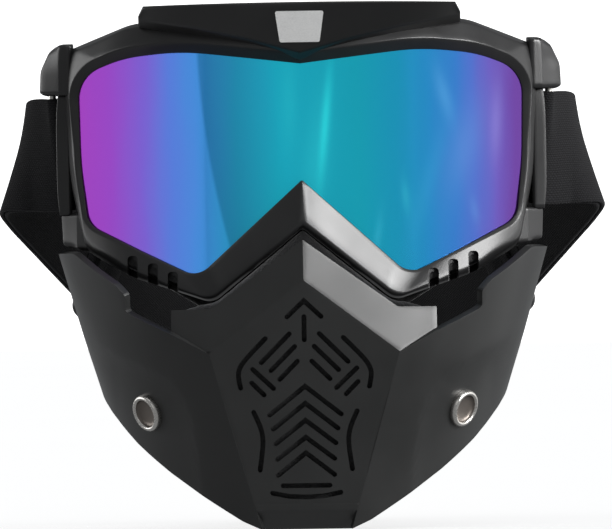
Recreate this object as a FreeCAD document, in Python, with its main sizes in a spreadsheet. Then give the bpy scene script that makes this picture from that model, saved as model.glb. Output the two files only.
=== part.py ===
"""Motorcycle goggles with a detachable face mask, as a parametric FreeCAD document.

Frame: millimetres, +Z up, +X to the wearer's left, the front of the goggles faces -Y.
The object stands on the mask's chin and on the rear of its strap, and the origin lies on that
surface, under the middle of the bounding box. Depths are written from the front of the lens at
its middle: a depth of 0 is the lens, and a larger depth is nearer the face.
"""

import FreeCAD
import Part

import math
import os
from FreeCAD import Matrix, Placement, Rotation, Vector

DOC = FreeCAD.newDocument("goggles")
OUT = "parts"

# ---------------------------------------------------------------- driving dimensions
SIZES = {
    "lens_y": (-73.0, "Y of the lens front at its middle"),
    "lens_radius": (105.0, "outer radius of the lens, about an upright axis"),
    "lens_wall": (1.6, "lens thickness"),
    "lens_lap": (2.0, "how far the lens reaches behind the opening's edge"),
    "plate_wall": (3.0, "front plate of the frame, from the lens outwards"),
    "frame_deep": (22.0, "depth of the frame"),
    "frame_wall": (2.2, "rim wall of the frame"),
    "prow_deep": (7.0, "how far the nose ridge stands out of the front plate"),
    "brow_deep": (6.0, "how far the brow stands out of the front plate"),
    "gasket_wall": (1.5, "thickness of the lens gasket"),
    "inner_wall": (2.0, "walls of the inner frame"),
    "inner_deep": (26.0, "depth of the inner frame's back"),
    "foam_deep": (12.0, "thickness of the face foam"),
    "fleece_deep": (2.0, "thickness of the fleece on the foam"),
    "gap": (0.4, "clearance between neighbouring pieces"),
    "tall": (220.0, "height of the cutting cylinders"),
    "reach": (85.0, "depth at which every front outline ends"),
    "mask_wall": (2.4, "wall of the mask shell"),
    "panel_top": (86.5, "height of the grille panel's apex"),
    "panel_depth": (-17.0, "depth of the grille panel's apex"),
    "panel_lean": (0.245, "how fast the panel goes back as it goes down"),
    "nose_side": (0.38, "how fast a nose plane goes back sideways"),
    "nose_rise": (0.2566, "how fast a nose plane goes back upwards"),
    "cheek_low": (57.9, "half width of the cheeks at the floor"),
    "cheek_flare": (0.288, "how fast the cheeks widen upwards"),
    "cheek_round": (0.97, "depth of the cheeks' round over their half width"),
    "cheek_front": (2.3, "depth of the cheeks' round at the floor"),
    "cheek_lean": (0.333, "how fast the cheeks come forward upwards"),
    "slot_wide": (1.6, "width of a grille slot"),
    "filter_wall": (6.0, "thickness of the filter foam"),
    "retainer_wall": (1.6, "thickness of the filter's retainer"),
    "pad_wall": (7.0, "thickness of the mask's foam pads"),
    "pin_radius": (1.3, "strap pin"),
    "pin_long": (50.0, "length of a strap pin"),
    "strap_wide": (39.8, "width of the webbing"),
    "strap_wall": (1.6, "thickness of the webbing"),
    "strap_gap": (0.4, "space between the two layers of webbing"),
    "loop_radius": (2.75, "radius of the webbing's middle round a pin"),
    "slider_at": (46.0, "where the adjuster sits along the straight run"),
    "slider_long": (14.0, "adjuster length along the webbing"),
    "slider_wide": (46.0, "adjuster width"),
    "rivet_radius": (6.6, "outer radius of a rivet's cup"),
    "rivet_tall": (2.2, "height of a rivet's cup"),
    "post_radius": (2.0, "rivet post"),
    "post_long": (13.0, "length of a rivet post"),
    "rivet_x": (55.3, "X of the rivets"),
    "rivet_z": (41.3, "height of the rivets"),
    "badge_top": (16.9, "badge width at its top"),
    "badge_low": (13.8, "badge width at its bottom"),
    "badge_tall": (10.8, "badge height"),
    "badge_wall": (1.6, "badge thickness"),
    "badge_z": (168.8, "height of the badge's lower edge"),
}

sheet = DOC.addObject("Spreadsheet::Sheet", "dims")
for row, (alias, (value, words)) in enumerate(SIZES.items(), start=1):
    sheet.set(f"A{row}", alias)
    sheet.set(f"B{row}", str(value))
    sheet.set(f"C{row}", words)
    sheet.setAlias(f"B{row}", alias)
DOC.recompute()


def dim(alias):
    """The value of one cell of the sheet."""
    return float(sheet.get(alias))


PARTS = []


def keep(made, label):
    """Marks a document object as a sub-part and names its file."""
    made.Label = label
    PARTS.append(made)
    return made


def feature(name, shape):
    """A Part::Feature for a form that neither a Body nor a primitive makes."""
    made = DOC.addObject("Part::Feature", name)
    made.Shape = shape
    return made


def point(x, depth, z):
    """A point from its X, its depth behind the lens front and its height."""
    return Vector(x, depth + dim("lens_y"), z)


# ---------------------------------------------------------------- outlines seen from the front
# Each corner is (X, Z, radius). Half outlines run from the lower middle to the upper middle.
LENS_HALF = [
    (0, 121.2, 0),
    (36.6, 87.6, 5),
    (74.8, 106.6, 5),
    (77.2, 128.0, 60),
    (77.6, 157.5, 9),
    (62.0, 165.6, 20),
    (42.0, 167.6, 60),
    (0, 161.6, 0),
]
FRAME_HALF = [
    (0, 104.6, 0),
    (31.5, 79.0, 6),
    (62.3, 89.6, 30),
    (75.3, 97.6, 9),
    (80.0, 113.0, 30),
    (82.6, 135.0, 60),
    (82.8, 167.6, 3),
    (57.0, 176.8, 20),
    (0, 178.6, 0),
]
FOAM_NOSE = [(0, 101.2, 0), (32.2, 75.2, 8)]     # the foam reaches below the frame over the nose
BROW_HALF = [(0, 166.0, 0), (17.0, 170.4, 0), (57.0, 177.0, 0), (54.0, 182.8, 1.2), (0, 182.8, 0)]
KNUCKLE = [(79.0, 152.3, 0), (91.6, 152.3, 1.5), (91.6, 168.9, 5), (81.0, 168.4, 0)]
LUG = [(70.0, 96.0, 0), (77.0, 98.0, 2), (83.9, 99.5, 2), (84.4, 110.9, 1), (76.0, 110.9, 0)]
VENTS = [(45.3, 90.1), (52.2, 93.1), (59.3, 95.8)]
VENT_FOAM = [(43.0, 85.6, 0), (64.0, 94.2, 0), (64.0, 98.0, 0), (43.0, 87.7, 0)]
CENTRE_HALF = [
    (0, 0, 0),
    (15.6, 0, 0),
    (18.2, 9.0, 0),
    (33.0, 61.5, 0),
    (46.0, 68.4, 0),
    (46.0, 76.8, 1),
    (32.5, 77.0, 0),
    (0, 101.0, 0),
]
CHEEK = [
    (15.6, 0, 0),
    (22.4, 3.1, 8),
    (47.5, 19.9, 40),
    (59.6, 30.4, 30),
    (68.4, 41.2, 20),
    (71.8, 47.8, 0),
    (100.0, 47.8, 0),
    (100.0, 97.0, 0),
    (80.0, 97.0, 0),
    (65.3, 85.7, 2),
    (62.0, 82.0, 2),
    (62.0, 76.3, 2),
    (46.0, 68.4, 0),
    (33.0, 61.5, 0),
    (18.2, 9.0, 0),
]
PANEL_HALF = [(0, 8.6, 0), (18.8, 10.6, 3), (31.6, 60.6, 2), (0, 84.0, 2)]
NOSE_PAD_HALF = [
    (0, 89.0, 0), (32.0, 65.0, 0), (43.0, 70.8, 2), (43.0, 76.0, 2), (36.0, 78.4, 2), (30.6, 79.1, 2),
    (0, 104.1, 0),
]
CHIN_PAD = [(-15.0, 1.4, 1), (15.0, 1.4, 1), (16.6, 7.4, 1), (-16.6, 7.4, 1)]
CHEEK_PAD = [(66.0, 52.0, 4), (100.0, 52.0, 0), (100.0, 86.0, 0), (72.0, 86.0, 4)]
# Side view of the mask, as (depth, Z).
MASK_SIDE = [(-40, -3), (26, -3), (46, 38), (64, 56), (66, 82), (60, 97), (-40, 110)]

# The grille, right half, as strokes of (X, Z). Strokes that start on X = 0 are carried on by their mirror.
GRILLE_MIDDLE = [[(0, 79.4), (5.9, 73.9)]] + [
    [(0, top), (half, top - drop)]
    for top, half, drop in (
        (49.8, 12.4, 9.8), (43.9, 11.2, 8.8), (38.0, 10.4, 8.0), (32.1, 9.9, 7.5), (26.7, 9.8, 7.7),
    )
] + [[(0, 15.3), (8.1, 15.3)], [(0, 11.3), (6.0, 11.6), (11.8, 12.8)]]
GRILLE_SIDE = [
    [(5.2, 68.0), (15.0, 58.2)],
    [(3.4, 63.6), (11.7, 55.4)],
    [(2.5, 58.5), (8.7, 52.3)],
    [(13.5, 66.5), (21.3, 58.7), (23.3, 54.6), (22.3, 49.5)],
    [(18.0, 55.9), (10.9, 49.2)],
    [(18.4, 51.2), (14.2, 47.0)],
    [(17.9, 41.0), (15.4, 35.5), (14.6, 30.5), (16.0, 20.9)],
]
GRILLE_STEM = [(0, 73.9), (0, 65.9)]

# The webbing's run on the right: (X, depth, Z) and the direction of its width, from the pin.
STRAP_BEND = [
    ((84.9, 47.0, 131.6), (0.105, 0.0, 1.0)),
    ((93.4, 52.2, 131.6), (-0.08, 0.06, 1.0)),
    ((98.9, 60.5, 129.8), (-0.27, 0.22, 0.94)),
    ((97.3, 70.0, 125.4), (-0.33, 0.38, 0.86)),
    ((92.0, 79.0, 118.5), (-0.338, 0.446, 0.829)),
]
STRAP_REAR = [
    ((52.0, 131.8, 73.7), (-0.338, 0.446, 0.829)),
    ((41.5, 142.4, 60.6), (-0.31, 0.40, 0.86)),
    ((31.0, 149.6, 46.9), (-0.26, 0.30, 0.92)),
    ((20.5, 154.3, 34.0), (-0.18, 0.18, 0.96)),
    ((10.0, 157.2, 24.2), (-0.08, 0.07, 0.99)),
    ((0.0, 158.0, 20.2), (0.0, 0.0, 1.0)),
]


def mirrored(half):
    """A whole outline from its right half: the points in the middle are not repeated."""
    return half + [(-x, z, r) for x, z, r in reversed(half) if x]


def around(points):
    """Each point with the one before it and the one after it."""
    return zip(points[-1:] + points[:-1], points, points[1:] + points[:1])


def grown(points, by):
    """The outline with every side moved outwards, and its corner radii with it."""
    area = sum(a[0] * b[1] - b[0] * a[1] for a, b in zip(points, points[1:] + points[:1]))
    out = math.copysign(1, area)
    made = []
    for before, here, after in around(points):
        one = Vector(here[0] - before[0], here[1] - before[1]).normalize()
        two = Vector(after[0] - here[0], after[1] - here[1]).normalize()
        turn = (one.x * two.y - one.y * two.x) * out
        half = Vector(one.y + two.y, -one.x - two.x) * out
        half = half * (2 * by / half.Length**2)
        radius = here[2] + (by if turn > 0 else -by) if here[2] else 0
        made.append((here[0] + half.x, here[1] + half.y, max(radius, 0)))
    return made


def outline_geometry(points):
    """Lines and arcs of an outline, in its own plane."""
    ends = []
    for before, here, after in around(points):
        corner = Vector(here[0], here[1])
        back = (Vector(before[0], before[1]) - corner).normalize()
        on = (Vector(after[0], after[1]) - corner).normalize()
        half_angle = back.getAngle(on) / 2
        if here[2] and half_angle < math.pi / 2 - 1e-3:
            run = here[2] / math.tan(half_angle)
            middle = (back + on).normalize() * (here[2] / math.sin(half_angle) - here[2])
            ends.append((corner + back * run, corner + middle, corner + on * run))
        else:
            ends.append((corner, None, corner))
    made = []
    for (start, through, end), (following, _, _) in zip(ends, ends[1:] + ends[:1]):
        if through:
            made.append(Part.Arc(start, through, end))
        if (following - end).Length > 1e-5:
            made.append(Part.LineSegment(end, following))
    return made


def stroke(line, width):
    """The outline of a line drawn with a round pen."""
    left, right = [], []
    for index, here in enumerate(line):
        first, last = max(index, 1), min(index + 1, len(line) - 1)
        one = Vector(line[first][0] - line[first - 1][0], line[first][1] - line[first - 1][1]).normalize()
        two = Vector(line[last][0] - line[last - 1][0], line[last][1] - line[last - 1][1]).normalize()
        side = Vector(one.y + two.y, -one.x - two.x)
        side = side * (width / side.Length**2)
        ended = index in (0, len(line) - 1)
        push = one * (width / 2) * (-1 if index == 0 else 1) if ended else Vector()
        radius = width / 2 - 0.01 if ended else 0
        right.append((here[0] + side.x + push.x, here[1] + side.y + push.y, radius))
        left.append((here[0] - side.x + push.x, here[1] - side.y + push.y, radius))
    return right + left[::-1]


def front_prism(name, *outlines):
    """Outlines in X and Z, cut through the whole depth."""
    sketch = DOC.addObject("Sketcher::SketchObject", name + "_outline")
    for outline in outlines:
        sketch.addGeometry(outline_geometry(outline), False)
    sketch.Placement = Placement(Vector(0, -160, 0), Rotation(Vector(1, 0, 0), 90))
    prism = DOC.addObject("Part::Extrusion", name + "_prism")
    prism.Base = sketch
    prism.DirMode = "Custom"
    prism.Dir = Vector(0, 1, 0)
    prism.Solid = True
    prism.setExpression("LengthFwd", "160 + dims.lens_y + dims.reach")
    return prism


def drum(name, radius, behind="0"):
    """An upright cylinder about the lens's axis, moved back. Both sizes are expressions."""
    made = DOC.addObject("Part::Cylinder", name)
    made.Placement = Placement(Vector(0, 0, -10), Rotation())
    made.setExpression("Radius", radius)
    made.setExpression("Height", "dims.tall")
    made.setExpression("Placement.Base.y", f"dims.lens_y + dims.lens_radius + {behind}")
    return made


def join(kind, name, base, tool):
    """Part::Cut or Part::Common of two objects."""
    made = DOC.addObject("Part::" + kind, name)
    made.Base = base
    made.Tool = tool
    return made


def fuse(name, pieces):
    made = DOC.addObject("Part::MultiFuse", name)
    made.Shapes = pieces
    return made


def block(name, low, high):
    """A box between two corners given as X, depth and Z. X may run either way."""
    made = DOC.addObject("Part::Box", name)
    corners = [sorted(pair) for pair in zip(low, high)]
    made.Length, made.Width, made.Height = (b - a for a, b in corners)
    made.Placement = Placement(point(*(a for a, _ in corners)), Rotation())
    return made


def plan_prism(name, corners, low, high):
    """A plan outline in X and depth, raised between two heights."""
    wire = Part.makePolygon([point(x, depth, low) for x, depth in corners + corners[:1]])
    return feature(name, Part.Face(wire).extrude(Vector(0, 0, high - low)))


def both_sides(make):
    """Runs a maker for the right (+1) and the left (-1) side."""
    return [make(side, name) for side, name in ((1, "right"), (-1, "left"))]


def sided(outline, side):
    return [(side * x, z, r) for x, z, r in outline]


def layer(name, outlines, front, back):
    """What lies between two drums and within the outlines."""
    return join("Cut", name, join("Common", name + "_front", front_prism(name, *outlines), front), back)


# ---------------------------------------------------------------- webbing
class Station:
    """One cross-section of the webbing: its middle, its width and its outward direction."""

    def __init__(self, middle, along, width):
        self.middle = middle
        self.along = Vector(along).normalize()
        width = Vector(width)
        self.width = (width - self.along * width.dot(self.along)).normalize()
        self.out = self.along.cross(self.width)

    def section(self, offset, width, wall):
        """The webbing's rectangle at an outward offset from the middle line."""
        corners = [(-1, -1), (1, -1), (1, 1), (-1, 1)]
        points = [
            self.middle + self.width * (width / 2 * a) + self.out * (offset + wall / 2 * b)
            for a, b in corners
        ]
        return Part.makePolygon(points + points[:1])

    def placement(self, along, side):
        """A frame on the middle line: X along the webbing, Y over its width, Z outwards."""
        base = self.middle + self.along * along
        axes = [self.along, self.width, self.out]
        if side < 0:
            base = Vector(-base.x, base.y, base.z)
            axes = [Vector(-v.x, v.y, v.z) for v in axes]
            axes[1] = -axes[1]
        rows = [value for row in zip(*axes, base) for value in row]
        return Placement(Matrix(*rows, 0, 0, 0, 1))


def curved_stations(marks, first, last, count):
    """Stations along a smooth curve through marks of (point, width direction)."""
    points = [point(*p) for p, _ in marks]
    lengths = [(b - a).Length for a, b in zip(points, points[1:])]
    spline = Part.BSplineCurve()
    spline.interpolate(Points=points, InitialTangent=first, FinalTangent=last)
    knots = [spline.parameter(p) for p in points]
    made = []
    for index in range(count + 1):
        at = spline.FirstParameter + (spline.LastParameter - spline.FirstParameter) * index / count
        leg = max(i for i in range(len(knots) - 1) if at >= knots[i] - 1e-9)
        share = (at - knots[leg]) / (knots[leg + 1] - knots[leg])
        width = Vector(*marks[leg][1]) * (1 - share) + Vector(*marks[leg + 1][1]) * share
        made.append(Station(spline.value(at), spline.tangent(at)[0], width))
    return made


RUN_FROM, RUN_TO = point(*STRAP_BEND[-1][0]), point(*STRAP_REAR[0][0])
RUN_ALONG = (RUN_TO - RUN_FROM).normalize()
BEND = curved_stations(STRAP_BEND, Vector(0.8, 0.6, -0.084), RUN_ALONG, 22)
REAR = curved_stations(STRAP_REAR, RUN_ALONG, Vector(-1, 0, 0), 20)
PIN_AXIS = Vector(*STRAP_BEND[0][1]).normalize()


def spread(station):
    """Offset of a layer from the middle line: wide at the pin, closed after it."""
    closed = (dim("strap_wall") + dim("strap_gap")) / 2
    ease = min(1.0, (station.middle - BEND[0].middle).Length / 11.0)
    ease = ease * ease * (3 - 2 * ease)
    return dim("loop_radius") * (1 - ease) + closed * ease


def head_strap():
    """The whole outer layer, with its turns round both pins."""
    size = (dim("strap_wide"), dim("strap_wall"))
    start = BEND[0]
    half = []
    for step in range(8, 0, -1):
        turn = math.pi * step / 8
        radial = start.out * math.cos(turn) - start.along * math.sin(turn)
        around_pin = Station(start.middle, radial.cross(start.width) * -1, start.width)
        around_pin.out = radial
        half.append(around_pin.section(dim("loop_radius"), *size))
    half += [s.section(spread(s), *size) for s in BEND]
    half += [s.section((dim("strap_wall") + dim("strap_gap")) / 2, *size) for s in REAR]
    flip = Matrix()
    flip.A11 = -1
    other = []
    for wire in half[:-1]:
        corners = wire.OrderedVertexes + wire.OrderedVertexes[:1]
        other.append(Part.makePolygon([flip.multVec(v.Point) for v in corners]))
    return keep(feature("head_strap", Part.makeLoft(half + other[::-1], True, True)), "head_strap")


def strap_return(side, name):
    """The inner layer, from the pin to the sewn end."""
    size = (dim("strap_wide"), dim("strap_wall"))
    last = Station(RUN_FROM + RUN_ALONG * (dim("slider_at") - 14.4), RUN_ALONG, STRAP_BEND[-1][1])
    wires = [s.section(-spread(s), *size) for s in BEND + [last]]
    shape = Part.makeLoft(wires, True, True)
    shape = shape if side > 0 else shape.mirror(Vector(), Vector(1, 0, 0))
    return keep(feature(f"return_{name}", shape), f"strap_return_{name}")


def local_box(name, low, high):
    """A box between two corners in the frame of the piece that it belongs to."""
    made = DOC.addObject("Part::Box", name)
    made.Length, made.Width, made.Height = (b - a for a, b in zip(low, high))
    made.Placement = Placement(Vector(*low), Rotation())
    return made


SLIDER_STATION = Station(RUN_FROM, RUN_ALONG, STRAP_BEND[-1][1])


def strap_adjuster(side, name):
    """A slide with two outer bars over the webbing and a middle bar under it."""
    half, wide = dim("slider_long") / 2, dim("slider_wide") / 2
    rail = wide - dim("strap_wide") / 2 - 0.5
    bars = [
        local_box(f"rail_a_{name}", (-half, -wide, -3.1), (half, rail - wide, 4.0)),
        local_box(f"rail_b_{name}", (-half, wide - rail, -3.1), (half, wide, 4.0)),
        local_box(f"bar_front_{name}", (-half, -wide, 2.1), (3.2 - half, wide, 4.0)),
        local_box(f"bar_back_{name}", (half - 3.2, -wide, 2.1), (half, wide, 4.0)),
        local_box(f"bar_middle_{name}", (-1.5, -wide, -3.1), (1.5, wide, -1.5)),
    ]
    made = fuse(f"adjuster_{name}", bars)
    made.Placement = SLIDER_STATION.placement(dim("slider_at"), side)
    return keep(made, f"strap_adjuster_{name}")


def strap_end(side, name):
    """The sewn end of the webbing, doubled round the adjuster's middle bar."""
    wide = dim("strap_wide") / 2
    sleeve = local_box(f"end_sleeve_{name}", (-14.0, -wide, -4.4), (3.1, wide, -0.2))
    bore = local_box(f"end_bore_{name}", (-1.8, -wide - 1, -3.3), (1.8, wide + 1, -1.3))
    step = local_box(f"end_step_{name}", (-15.0, -wide - 1, -5.0), (-9.0, wide + 1, -3.2))
    made = join("Cut", f"end_{name}", sleeve, fuse(f"end_cuts_{name}", [bore, step]))
    made.Placement = SLIDER_STATION.placement(dim("slider_at"), side)
    return keep(made, f"strap_end_{name}")


def pin_cylinder(name, side, radius, low, length):
    """A cylinder on the slanted axis of a strap pin, from a height along the axis."""
    made = DOC.addObject("Part::Cylinder", name)
    axis = Vector(side * PIN_AXIS.x, PIN_AXIS.y, PIN_AXIS.z)
    middle = point(*STRAP_BEND[0][0])
    base = Vector(side * middle.x, middle.y, middle.z) + axis * low
    made.Placement = Placement(base, Rotation(Vector(0, 0, 1), axis))
    made.setExpression("Radius", radius)
    made.setExpression("Height", length)
    return made


def strap_pins():
    pins = both_sides(lambda side, name: pin_cylinder(
        f"pin_{name}", side, "dims.pin_radius", -dim("pin_long") / 2, "dims.pin_long"))
    made = DOC.addObject("Part::Compound", "strap_pins")
    made.Links = pins
    return keep(made, "strap_pins")


# ---------------------------------------------------------------- goggles: frame, lens, foam
def badge_outline(grow, radius):
    """The badge's outline, wider at the top."""
    low, high = dim("badge_z") - grow, dim("badge_z") + dim("badge_tall") + grow
    top, bottom = dim("badge_top") / 2 + grow, dim("badge_low") / 2 + grow
    return [(-bottom, low, radius), (bottom, low, radius), (top, high, radius), (-top, high, radius)]


def goggle_frame():
    """The hard front frame: plate, brow, nose ridge, strap knuckles and lower lugs."""
    whole = mirrored(FRAME_HALF)
    front = "dims.lens_radius + dims.plate_wall"
    skin = join("Common", "frame_skin", front_prism("frame", whole), drum("frame_front", front))
    edge = math.sqrt((dim("lens_radius") + dim("plate_wall")) ** 2 - 36.0**2)
    edge = dim("lens_radius") - edge
    tip = -dim("plate_wall") - dim("prow_deep")
    wedge = [(0, tip), (36, edge), (36, edge + 2), (0, 1), (-36, edge + 2), (-36, edge)]
    prow = join("Common", "prow", plan_prism("prow_wedge", wedge, 78, 122), front_prism("prow", whole))
    brow = join("Common", "brow", front_prism("brow", mirrored(BROW_HALF)),
                drum("brow_front", front + " + dims.brow_deep"))
    body = join("Cut", "frame_trimmed", fuse("frame_front_body", [skin, prow, brow]),
                drum("frame_back", front, "dims.frame_deep"))

    def knuckle(side, name):
        plan = ((78, 32.5), (86, 37.5), (91.6, 42.5), (91.6, 54), (88, 57), (78, 57))
        plan = [(side * x, d) for x, d in plan]
        return join("Common", f"knuckle_{name}", plan_prism(f"knuckle_plan_{name}", plan, 150, 170),
                    front_prism(f"knuckle_{name}", sided(KNUCKLE, side)))

    def lug(side, name):
        plan = [(side * x, d) for x, d in ((70, 31), (79, 38), (84.6, 43), (84.6, 59), (70, 59))]
        return join("Common", f"lug_{name}", plan_prism(f"lug_plan_{name}", plan, 94, 112),
                    front_prism(f"lug_{name}", sided(LUG, side)))

    body = fuse("frame_body", [body] + both_sides(knuckle) + both_sides(lug))
    cavity = join("Common", "frame_cavity", front_prism("cavity", grown(whole, -dim("frame_wall"))),
                  drum("cavity_front", "dims.lens_radius"))
    vents = [
        sided([(x - 1.9, z - 14, 0), (x + 1.9, z - 14, 0), (x + 1.9, z, 1), (x - 1.9, z, 1)], side)
        for side in (1, -1) for x, z in VENTS
    ]
    vent_cut = join("Cut", "vent_cut", front_prism("vents", *vents),
                    drum("vent_back", "dims.lens_radius", "dims.plate_wall + 9"))
    seat_depth = block("seat_depth", (-12, -30, 160), (12, 0.9 - dim("plate_wall") - dim("brow_deep"), 190))
    seat = join("Common", "badge_seat", front_prism("badge_seat", badge_outline(0.3, 0.9)), seat_depth)
    cuts = [cavity, vent_cut, seat, front_prism("opening", mirrored(LENS_HALF))]
    cuts += both_sides(lambda side, name: pin_cylinder(
        f"pin_hole_{name}", side, "dims.pin_radius + 0.03", -dim("pin_long") / 2, "dims.pin_long"))
    cuts += both_sides(lambda side, name: pin_cylinder(f"strap_relief_{name}", side, "4", -20.3, "40.6"))
    cuts += both_sides(lambda side, name: block(
        f"tongue_pocket_{name}", (side * 79.2, 50.0, 90), (side * 82.4, 57.4, 109)))
    return keep(join("Cut", "goggle_frame", body, fuse("frame_cuts", cuts)), "goggle_frame")


def rim_layers():
    """Lens, gasket, inner frame, foam and fleece, from the front to the face."""
    lens_whole, frame_whole = mirrored(LENS_HALF), mirrored(FRAME_HALF)
    lens_rim = grown(lens_whole, dim("lens_lap"))
    shrink = dim("frame_wall") + dim("gap")
    inside = grown(frame_whole, -shrink)
    lens = layer("lens_round", [lens_rim], drum("lens_front", "dims.lens_radius"),
                 drum("lens_back", "dims.lens_radius - dims.lens_wall"))
    keep(join("Common", "lens_trimmed", lens, front_prism("lens_trim", inside)), "lens")
    behind = "dims.lens_radius - dims.lens_wall - 0.1"
    gasket = layer("gasket_ring", [lens_rim, grown(lens_whole, -0.6)], drum("gasket_front", behind),
                   drum("gasket_back", behind + " - dims.gasket_wall"))
    keep(join("Common", "gasket_trimmed", gasket, front_prism("gasket_trim", inside)), "lens_gasket")
    behind += " - dims.gasket_wall - 0.1"
    inner = layer("inner_ring", [inside, grown(frame_whole, -shrink - 12)],
                  drum("inner_front", behind), drum("inner_back", "dims.lens_radius", "dims.inner_deep"))
    hollow = layer("inner_hollow", [grown(frame_whole, -shrink - dim("inner_wall"))],
                   drum("hollow_front", behind + " - dims.inner_wall"),
                   drum("hollow_back", "dims.lens_radius", "dims.inner_deep - dims.inner_wall"))
    ledge = front_prism("inner_sight", grown(lens_whole, -0.4))
    sight = join("Cut", "inner_sight_cut", ledge, drum("sight_back", "dims.lens_radius", "12"))
    keep(join("Cut", "inner_frame", inner, fuse("inner_cuts", [hollow, sight])), "inner_frame")
    rear = "dims.inner_deep + 0.1"
    rim = grown(frame_whole, -shrink - 0.4)[2:len(FRAME_HALF)]
    soft = [mirrored(FOAM_NOSE + rim), grown(frame_whole, -shrink - 11.5)]
    keep(layer("face_foam", soft, drum("foam_front", "dims.lens_radius", rear),
               drum("foam_back", "dims.lens_radius", rear + " + dims.foam_deep")), "face_foam")
    rear += " + dims.foam_deep + 0.1"
    keep(layer("face_fleece", soft, drum("fleece_front", "dims.lens_radius", rear),
               drum("fleece_back", "dims.lens_radius", rear + " + dims.fleece_deep")), "face_fleece")


def vent_foam(side, name):
    """Open foam behind the three vent notches."""
    rear = "dims.lens_radius - dims.lens_wall - dims.gasket_wall - 0.1"
    made = layer(f"vent_foam_{name}", [sided(VENT_FOAM, side)],
                 drum(f"vent_front_{name}", "dims.lens_radius - 0.3"), drum(f"vent_rear_{name}", rear))
    return keep(made, f"vent_foam_{name}")


def body_sketch(body, name, plane, geometry):
    """A sketch on one of the body's own planes."""
    sketch = body.newObject("Sketcher::SketchObject", name)
    origin = next(f for f in body.Origin.OriginFeatures if f.Role == plane)
    sketch.AttachmentSupport = (origin, [""])
    sketch.MapMode = "FlatFace"
    sketch.addGeometry(geometry, False)
    return sketch


def pad(body, name, sketch, length):
    made = body.newObject("PartDesign::Pad", name)
    made.Profile = sketch
    made.setExpression("Length", length)
    DOC.recompute()
    return made


def brow_badge():
    """A blank plate in a seat of the brow."""
    body = DOC.addObject("PartDesign::Body", "badge_body")
    sketch = body_sketch(body, "badge_sketch", "XZ_Plane", outline_geometry(badge_outline(0, 0.7)))
    pad(body, "badge_pad", sketch, "dims.badge_wall")
    body.Placement = Placement(point(0, 0.85 - dim("plate_wall") - dim("brow_deep"), 0), Rotation())
    return keep(body, "brow_badge")


# ---------------------------------------------------------------- face mask
def half_space(at, normal):
    """A large block behind a plane; the normal points out of the block."""
    size = 400.0
    made = Part.makeBox(size, size, size, Vector(-size / 2, -size / 2, -size))
    made.Placement = Placement(at, Rotation(Vector(0, 0, 1), normal))
    return made


def centre_volume(inset):
    """Everything behind the grille panel, the two nose planes and the chin, moved back."""
    apex = point(0, dim("panel_depth") + inset * 1.04, dim("panel_top"))
    lean, side, rise = dim("panel_lean"), dim("nose_side"), dim("nose_rise")
    volume = half_space(apex, Vector(0, -1, -lean))
    for way in (1, -1):
        volume = volume.common(half_space(apex, Vector(way * side, -1, rise)))
    chin = point(0, dim("panel_depth") + lean * (dim("panel_top") - 6.6) + inset * 1.04, 6.6)
    return volume.common(half_space(chin, Vector(0, -1, -1.1)))


def cheek_wire(z, inset):
    """The mask's plan at one height: half an ellipse that runs straight back at its ends."""
    half = dim("cheek_low") + dim("cheek_flare") * z
    deep = dim("cheek_round") * half
    front = dim("cheek_front") - dim("cheek_lean") * z
    middle = point(0, front + deep, z)
    ellipse = Part.Ellipse(middle, half - inset, deep - inset)
    arc = Part.Arc(ellipse, math.pi, 2 * math.pi).toShape()
    a, b = arc.Vertexes[0].Point, arc.Vertexes[-1].Point
    back = Vector(0, 120, 0)
    sides = Part.makePolygon([b, b + back, a + back, a])
    return Part.Wire([arc] + sides.Edges)


def cheek_volume(inset):
    """Everything behind the cheeks' round, moved inwards."""
    return Part.makeLoft([cheek_wire(-12, inset), cheek_wire(115, inset)], True, True)


def cheek_depth(x, z):
    """Depth of the cheek's outer face."""
    half = dim("cheek_low") + dim("cheek_flare") * z
    round_part = dim("cheek_round") * half * (1 - math.sqrt(1 - (x / half) ** 2))
    return dim("cheek_front") - dim("cheek_lean") * z + round_part


def side_prism():
    """The mask's side view, cut through its whole width."""
    wire = Part.makePolygon([point(-120, d, z) for d, z in MASK_SIDE + MASK_SIDE[:1]])
    return feature("mask_side", Part.Face(wire).extrude(Vector(240, 0, 0)))


def mask_layer(name, kind, outer, inner, *outlines):
    """A layer that follows the mask's centre or its cheeks, between two insets."""
    volume = centre_volume if kind == "centre" else cheek_volume
    skin = feature(name + "_skin", volume(outer).cut(volume(inner)))
    return join("Common", name, skin, front_prism(name, *outlines))


def rivet_place(side):
    """Where a rivet meets the cheek, with its Z axis out of the shell."""
    x, z, step = dim("rivet_x"), dim("rivet_z"), 0.05
    across = (cheek_depth(x + step, z) - cheek_depth(x - step, z)) / (2 * step)
    up = (cheek_depth(x, z + step) - cheek_depth(x, z - step)) / (2 * step)
    normal = Vector(side * across, -1, up).normalize()
    return Placement(point(side * x, cheek_depth(x, z), z), Rotation(Vector(0, 0, 1), normal))


def rivet_bore(side, name):
    """A cylinder through the shell and the retainer, wider than the post."""
    made = DOC.addObject("Part::Cylinder", f"rivet_bore_{name}")
    made.setExpression("Radius", "dims.post_radius + 0.15")
    made.Height = 40
    made.Placement = rivet_place(side).multiply(Placement(Vector(0, 0, -25), Rotation()))
    return made


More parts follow.
